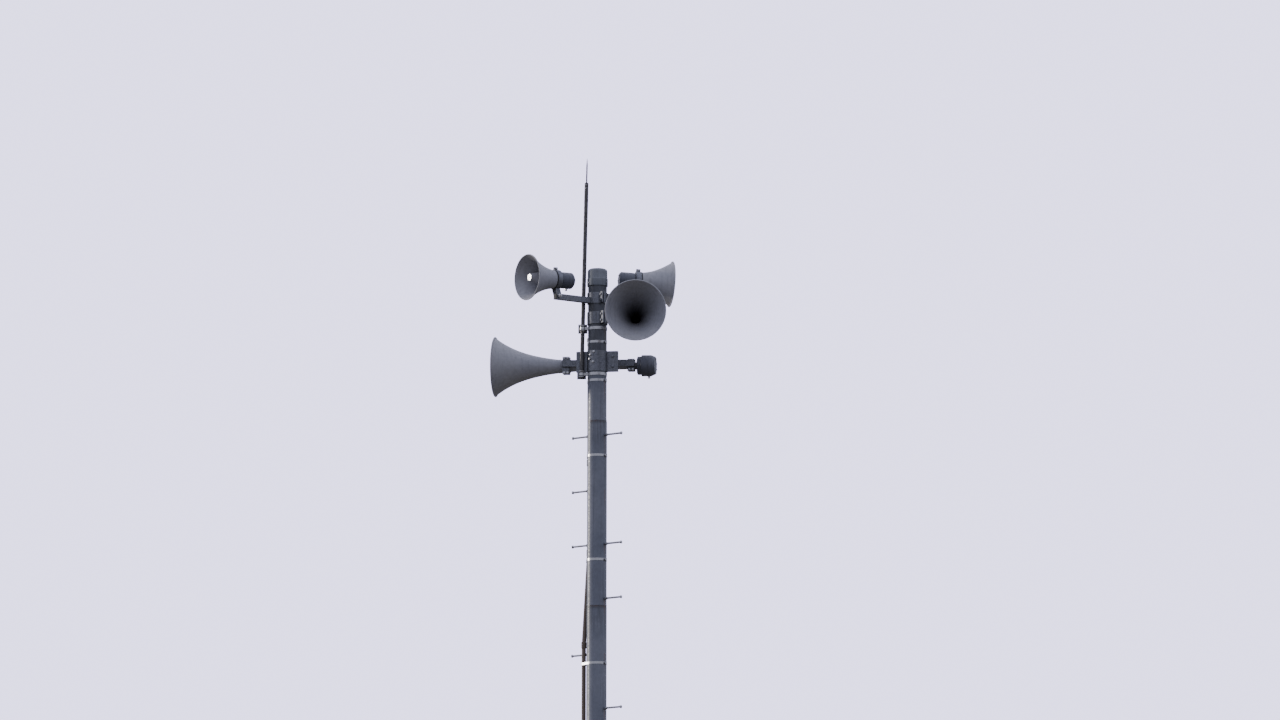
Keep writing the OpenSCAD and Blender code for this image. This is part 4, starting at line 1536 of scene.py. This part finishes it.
@dataclass(kw_only=True)
class LongHorn(Horn):
    """A long straight horn: a flare, a tube and a driver, strapped to a cradle."""

    mirrored: bool = False
    mouth_r: float = 246 * MM
    mouth_x: float = 905 * MM
    axis_y: float = 84 * MM
    axis_z: float = -13 * MM
    driver_r: float = 88 * MM
    driver_l: float = 156 * MM
    offset: float = 313 * MM
    throat_r: float = 25 * MM
    flare_l: float = 276 * MM
    split: float = 540 * MM
    length: float = 1187 * MM
    sleeve_l: float = 16 * MM
    sleeve_t: float = 1.6 * MM
    adapter_l: float = 36 * MM
    saddle_xs: tuple[float, float] = (-241 * MM, 301 * MM)
    saddle_w: float = 58 * MM
    saddle_lug: float = 22 * MM
    plate_y: float = 25.5 * MM
    channel_h: float = 54 * MM
    channel_t: float = 4 * MM
    flange_t: float = 8 * MM
    gap: float = 0.5 * MM

    @property
    def place(self) -> Matrix:
        """The horn's frame: its origin on the pivot, its X axis towards the mouth.

        Returns:
            The frame. It is left-handed where the horn is mirrored.
        """
        hand = Matrix.Diagonal((1, -1 if self.mirrored else 1, 1, 1))
        out = moved(0, self.offset - self.axis_y, 0)
        return mast_frame(self.heading, self.pivot_z) @ hand @ out @ turned("Y", self.tilt)

    def radius(self, d: float) -> float:
        """Outer radius of the horn at distance d."""
        return self.throat_r + (self.mouth_r - self.throat_r) * math.exp(-d / self.flare_l)

    def flare(self) -> None:
        """Turns the flare with its rolled rim, and adds the drain tab under the rim."""
        inner, outer = walls(self.radius, spread(9 * MM, self.split, 56, 1.25), self.wall)
        made = Blank.lathed(inner + self.rim() + outer, 128)
        tab = Blank.block(3 * MM, 26 * MM, 11 * MM, 1 * MM)
        made.stamped(tab, [UNDERSIDE @ moved(self.mouth_r - 1 * MM, 0, 11 * MM)])
        self.fit_along(made, "flare_skin", HORN_PAINT, "flare")

    def tube(self) -> None:
        """Turns the tube, with a sleeve at its joint with the flare."""
        inner, outer = walls(self.radius, spread(self.split, self.length, 34), self.wall)
        start, end = self.split, self.split + self.sleeve_l
        start_r, end_r = self.radius(start), self.radius(end) + self.sleeve_t
        sleeve = [(start_r + 0.2 * MM, start), (start_r + self.sleeve_t, start + 0.4 * MM), (end_r, end)]
        outer = [point for point in outer if point[1] > end + 2 * MM]
        self.fit_along(Blank.lathed(inner + sleeve + outer, 72), "tube_skin", HORN_PAINT, "tube")

    def driver(self) -> None:
        """Makes the driver with its adapter, flange bolts, back screws and cable gland."""
        d, bend, front = self.length, 6 * MM, self.length + self.adapter_l
        neck_r, adapter_r = self.radius(d) + 14 * MM, self.driver_r - 12 * MM
        neck = [(neck_r - 1 * MM, d), (neck_r, d + 1 * MM), (neck_r, d + bend)]
        neck += arc((adapter_r - bend, d + 2 * bend), bend, 270, 360, 5) + [(adapter_r, front + 4 * MM)]
        length = self.driver_l - self.adapter_l
        unit = Driver(neck, self.driver_r, front, length, bevel=16 * MM, taper_l=36 * MM, screws=8)
        self.fit_along(unit.shell(), "driver_shell", DRIVER_PAINT, "driver")
        bolt = Blank.bar(4 * MM, 3 * MM, 6, 0.4 * MM)
        fittings = unit.fittings().stamped(bolt, ringed(6, neck_r - 5 * MM, d - 3 * MM, start=30))
        self.fit_along(fittings, "driver_fittings", STAINLESS)

    def saddles(self) -> None:
        """Adds the long studs through the saddles' lugs and the welds under the saddle plates."""
        y, half_w = self.plate_y, self.saddle_w / 2
        weld = Weld(6 * MM, 3.6 * MM)
        studs, runs = [], []
        for x in self.saddle_xs:
            lug_z = self.radius(self.mouth_x - x) + self.saddle_lug / 2 + 1 * MM
            for along in (-half_w / 2, half_w / 2):
                for z in (-lug_z, lug_z):
                    studs.append(self.place @ moved(x + along, y, self.axis_z + z) @ ALONG_Y)
            for z in (-self.channel_h / 2, self.channel_h / 2):
                runs += [self.place @ at for at in weld.line((x - half_w, y, z), (x + half_w, y, z))]
        self.fit(Bolt(10 * MM, self.axis_y - y).blank().copied(studs), "saddle_studs", STAINLESS)
        self.fit(weld.laid(runs), "cradle_welds", ZINC)

    def pivot(self) -> Blank:
        """The bolt through the arm's flange and the cradle's channel."""
        return self.cross_bolt(-self.flange_t, self.flange_t + 2 * self.gap + self.channel_t)

    def build(self) -> None:
        """Makes the whole horn."""
        self.flare()
        self.tube()
        self.driver()
        self.saddles()


# Dressing and the studio


def dress_nodes() -> None:
    """Gives each CAD node the finish of its own or of the slot that its imported material names."""
    for name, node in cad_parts.items():
        label = node.material_slots[0].material.name
        slot = next(slot for slot in Slot if label.startswith(slot.value))
        finish = FINISH_OF_NODE.get(name, FINISH_OF_SLOT[slot])
        for holder in node.material_slots:
            holder.material = finish.material()
        LOG.info("%s has the finish %s", name, finish.name)


def facing(direction: Vector) -> Matrix:
    """Turn of a camera or light that looks in a direction, with its top up."""
    return direction.to_track_quat("-Z", "Y").to_matrix().to_4x4()


@dataclass
class Studio:
    """The camera at the photograph's place, the key light, the dome light and the floor."""

    eye: Vector
    aim: Vector
    lens: float = 207.0
    roll: float = 0.09
    view_l: float = 500.0
    sun_azimuth: float = 160.0
    sun_elevation: float = 10.0
    sun_strength: float = 1.8
    sun_size: float = 4.0
    sun_colour: Colour = (1.0, 0.94, 0.87)
    sun_z: float = 30.0
    overhead: Colour = (0.98, 1.02, 1.25)
    underneath: Colour = (0.165, 0.158, 0.155)
    dome_rise: tuple[float, float] = (-0.3, 0.6)
    backdrop: Colour = (2.2, 2.1, 3.1)
    floor_w: float = 500.0

    def camera(self) -> None:
        """Sets the camera up."""
        data = bpy.data.cameras.new("camera")
        data.lens = self.lens
        data.clip_end = self.view_l
        made = added("camera", data)
        turn = facing(self.aim - self.eye) @ turned("Z", self.roll)
        made.matrix_world = Matrix.Translation(self.eye) @ turn
        bpy.context.scene.camera = made

    def key_light(self) -> None:
        """Sets up a weak warm key light, low on the left and a little behind."""
        data = bpy.data.lights.new("key", "SUN")
        data.energy = self.sun_strength
        data.angle = math.radians(self.sun_size)
        data.color = self.sun_colour
        azimuth, elevation = math.radians(self.sun_azimuth), math.radians(self.sun_elevation)
        level = math.cos(elevation)
        source = Vector((math.cos(azimuth) * level, math.sin(azimuth) * level, math.sin(elevation)))
        added("key", data).matrix_world = moved(0, 0, self.sun_z) @ facing(-source)

    def dome_light(self) -> None:
        """Sets up a soft bluish light that is brightest overhead, with a plain pale backdrop."""
        world = bpy.data.worlds.new("studio")
        world.use_nodes = True
        nodes = Nodes(world.node_tree)
        height = nodes.parts(nodes.add("ShaderNodeTexCoord").outputs["Generated"])[2]
        dome = nodes.layered(self.underneath, self.overhead, nodes.span(height, *self.dome_rise))
        seen = nodes.add("ShaderNodeLightPath").outputs["Is Camera Ray"]
        background = nodes.tree.nodes["Background"].inputs["Color"]
        nodes.feed(background, nodes.layered(dome, self.backdrop, seen))
        bpy.context.scene.world = world

    def floor(self) -> None:
        """Lays the floor just under the base plate. It throws no light on the tower."""
        sheet, place = Blank(), moved(0, 0, -1 * MM)
        bmesh.ops.create_grid(sheet.bm, x_segments=4, y_segments=4, size=self.floor_w / 2, matrix=place)
        made = sheet.linked("floor", FLOOR)
        made.visible_diffuse = False
        made.visible_glossy = False

    def build(self) -> None:
        """Sets up the whole studio."""
        self.camera()
        self.key_light()
        self.dome_light()
        self.floor()


def main() -> None:
    logging.basicConfig(level=logging.INFO, format="%(message)s")
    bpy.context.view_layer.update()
    Studio(eye=Vector((0.35, -59.5, 1.6)), aim=Vector((0.35, 0, 11.743))).build()
    dress_nodes()
    MastWork().build()
    LightningRod(foot=Vector((-129 * MM, -20 * MM, 11585 * MM))).build()
    Clamp("upper", z=12250 * MM, height=90 * MM, ears=(112.35, -67.65)).build()
    Clamp("front", z=12085 * MM, height=100 * MM, ears=(65, -65)).build()
    Clamp("rear", z=11727 * MM, height=170 * MM, ears=(171.5, -8.5), ear_l=88 * MM).build()
    ArmWork().build()
    horns = (
        ShortHorn(side="left", body=Body.LEFT, heading=214, reach=390 * MM, pivot_z=12234 * MM, tilt=1.5),
        ShortHorn(side="right", body=Body.RIGHT, heading=10.7, reach=311 * MM, pivot_z=12274 * MM, tilt=3),
        LongHorn(side="front", body=Body.FRONT, heading=-90, pivot_z=12076 * MM, tilt=4),
        LongHorn(side="rear", body=Body.REAR, heading=171.5, pivot_z=11757 * MM, tilt=-0.8, mirrored=True),
    )
    pivots = Blank()
    for horn in horns:
        horn.build()
        pivots.stamped(horn.pivot())
    pivots.fitted("pivot_bolts_made", STAINLESS, replaces=["pivot_bolts"])


if __name__ == "__main__":
    main()
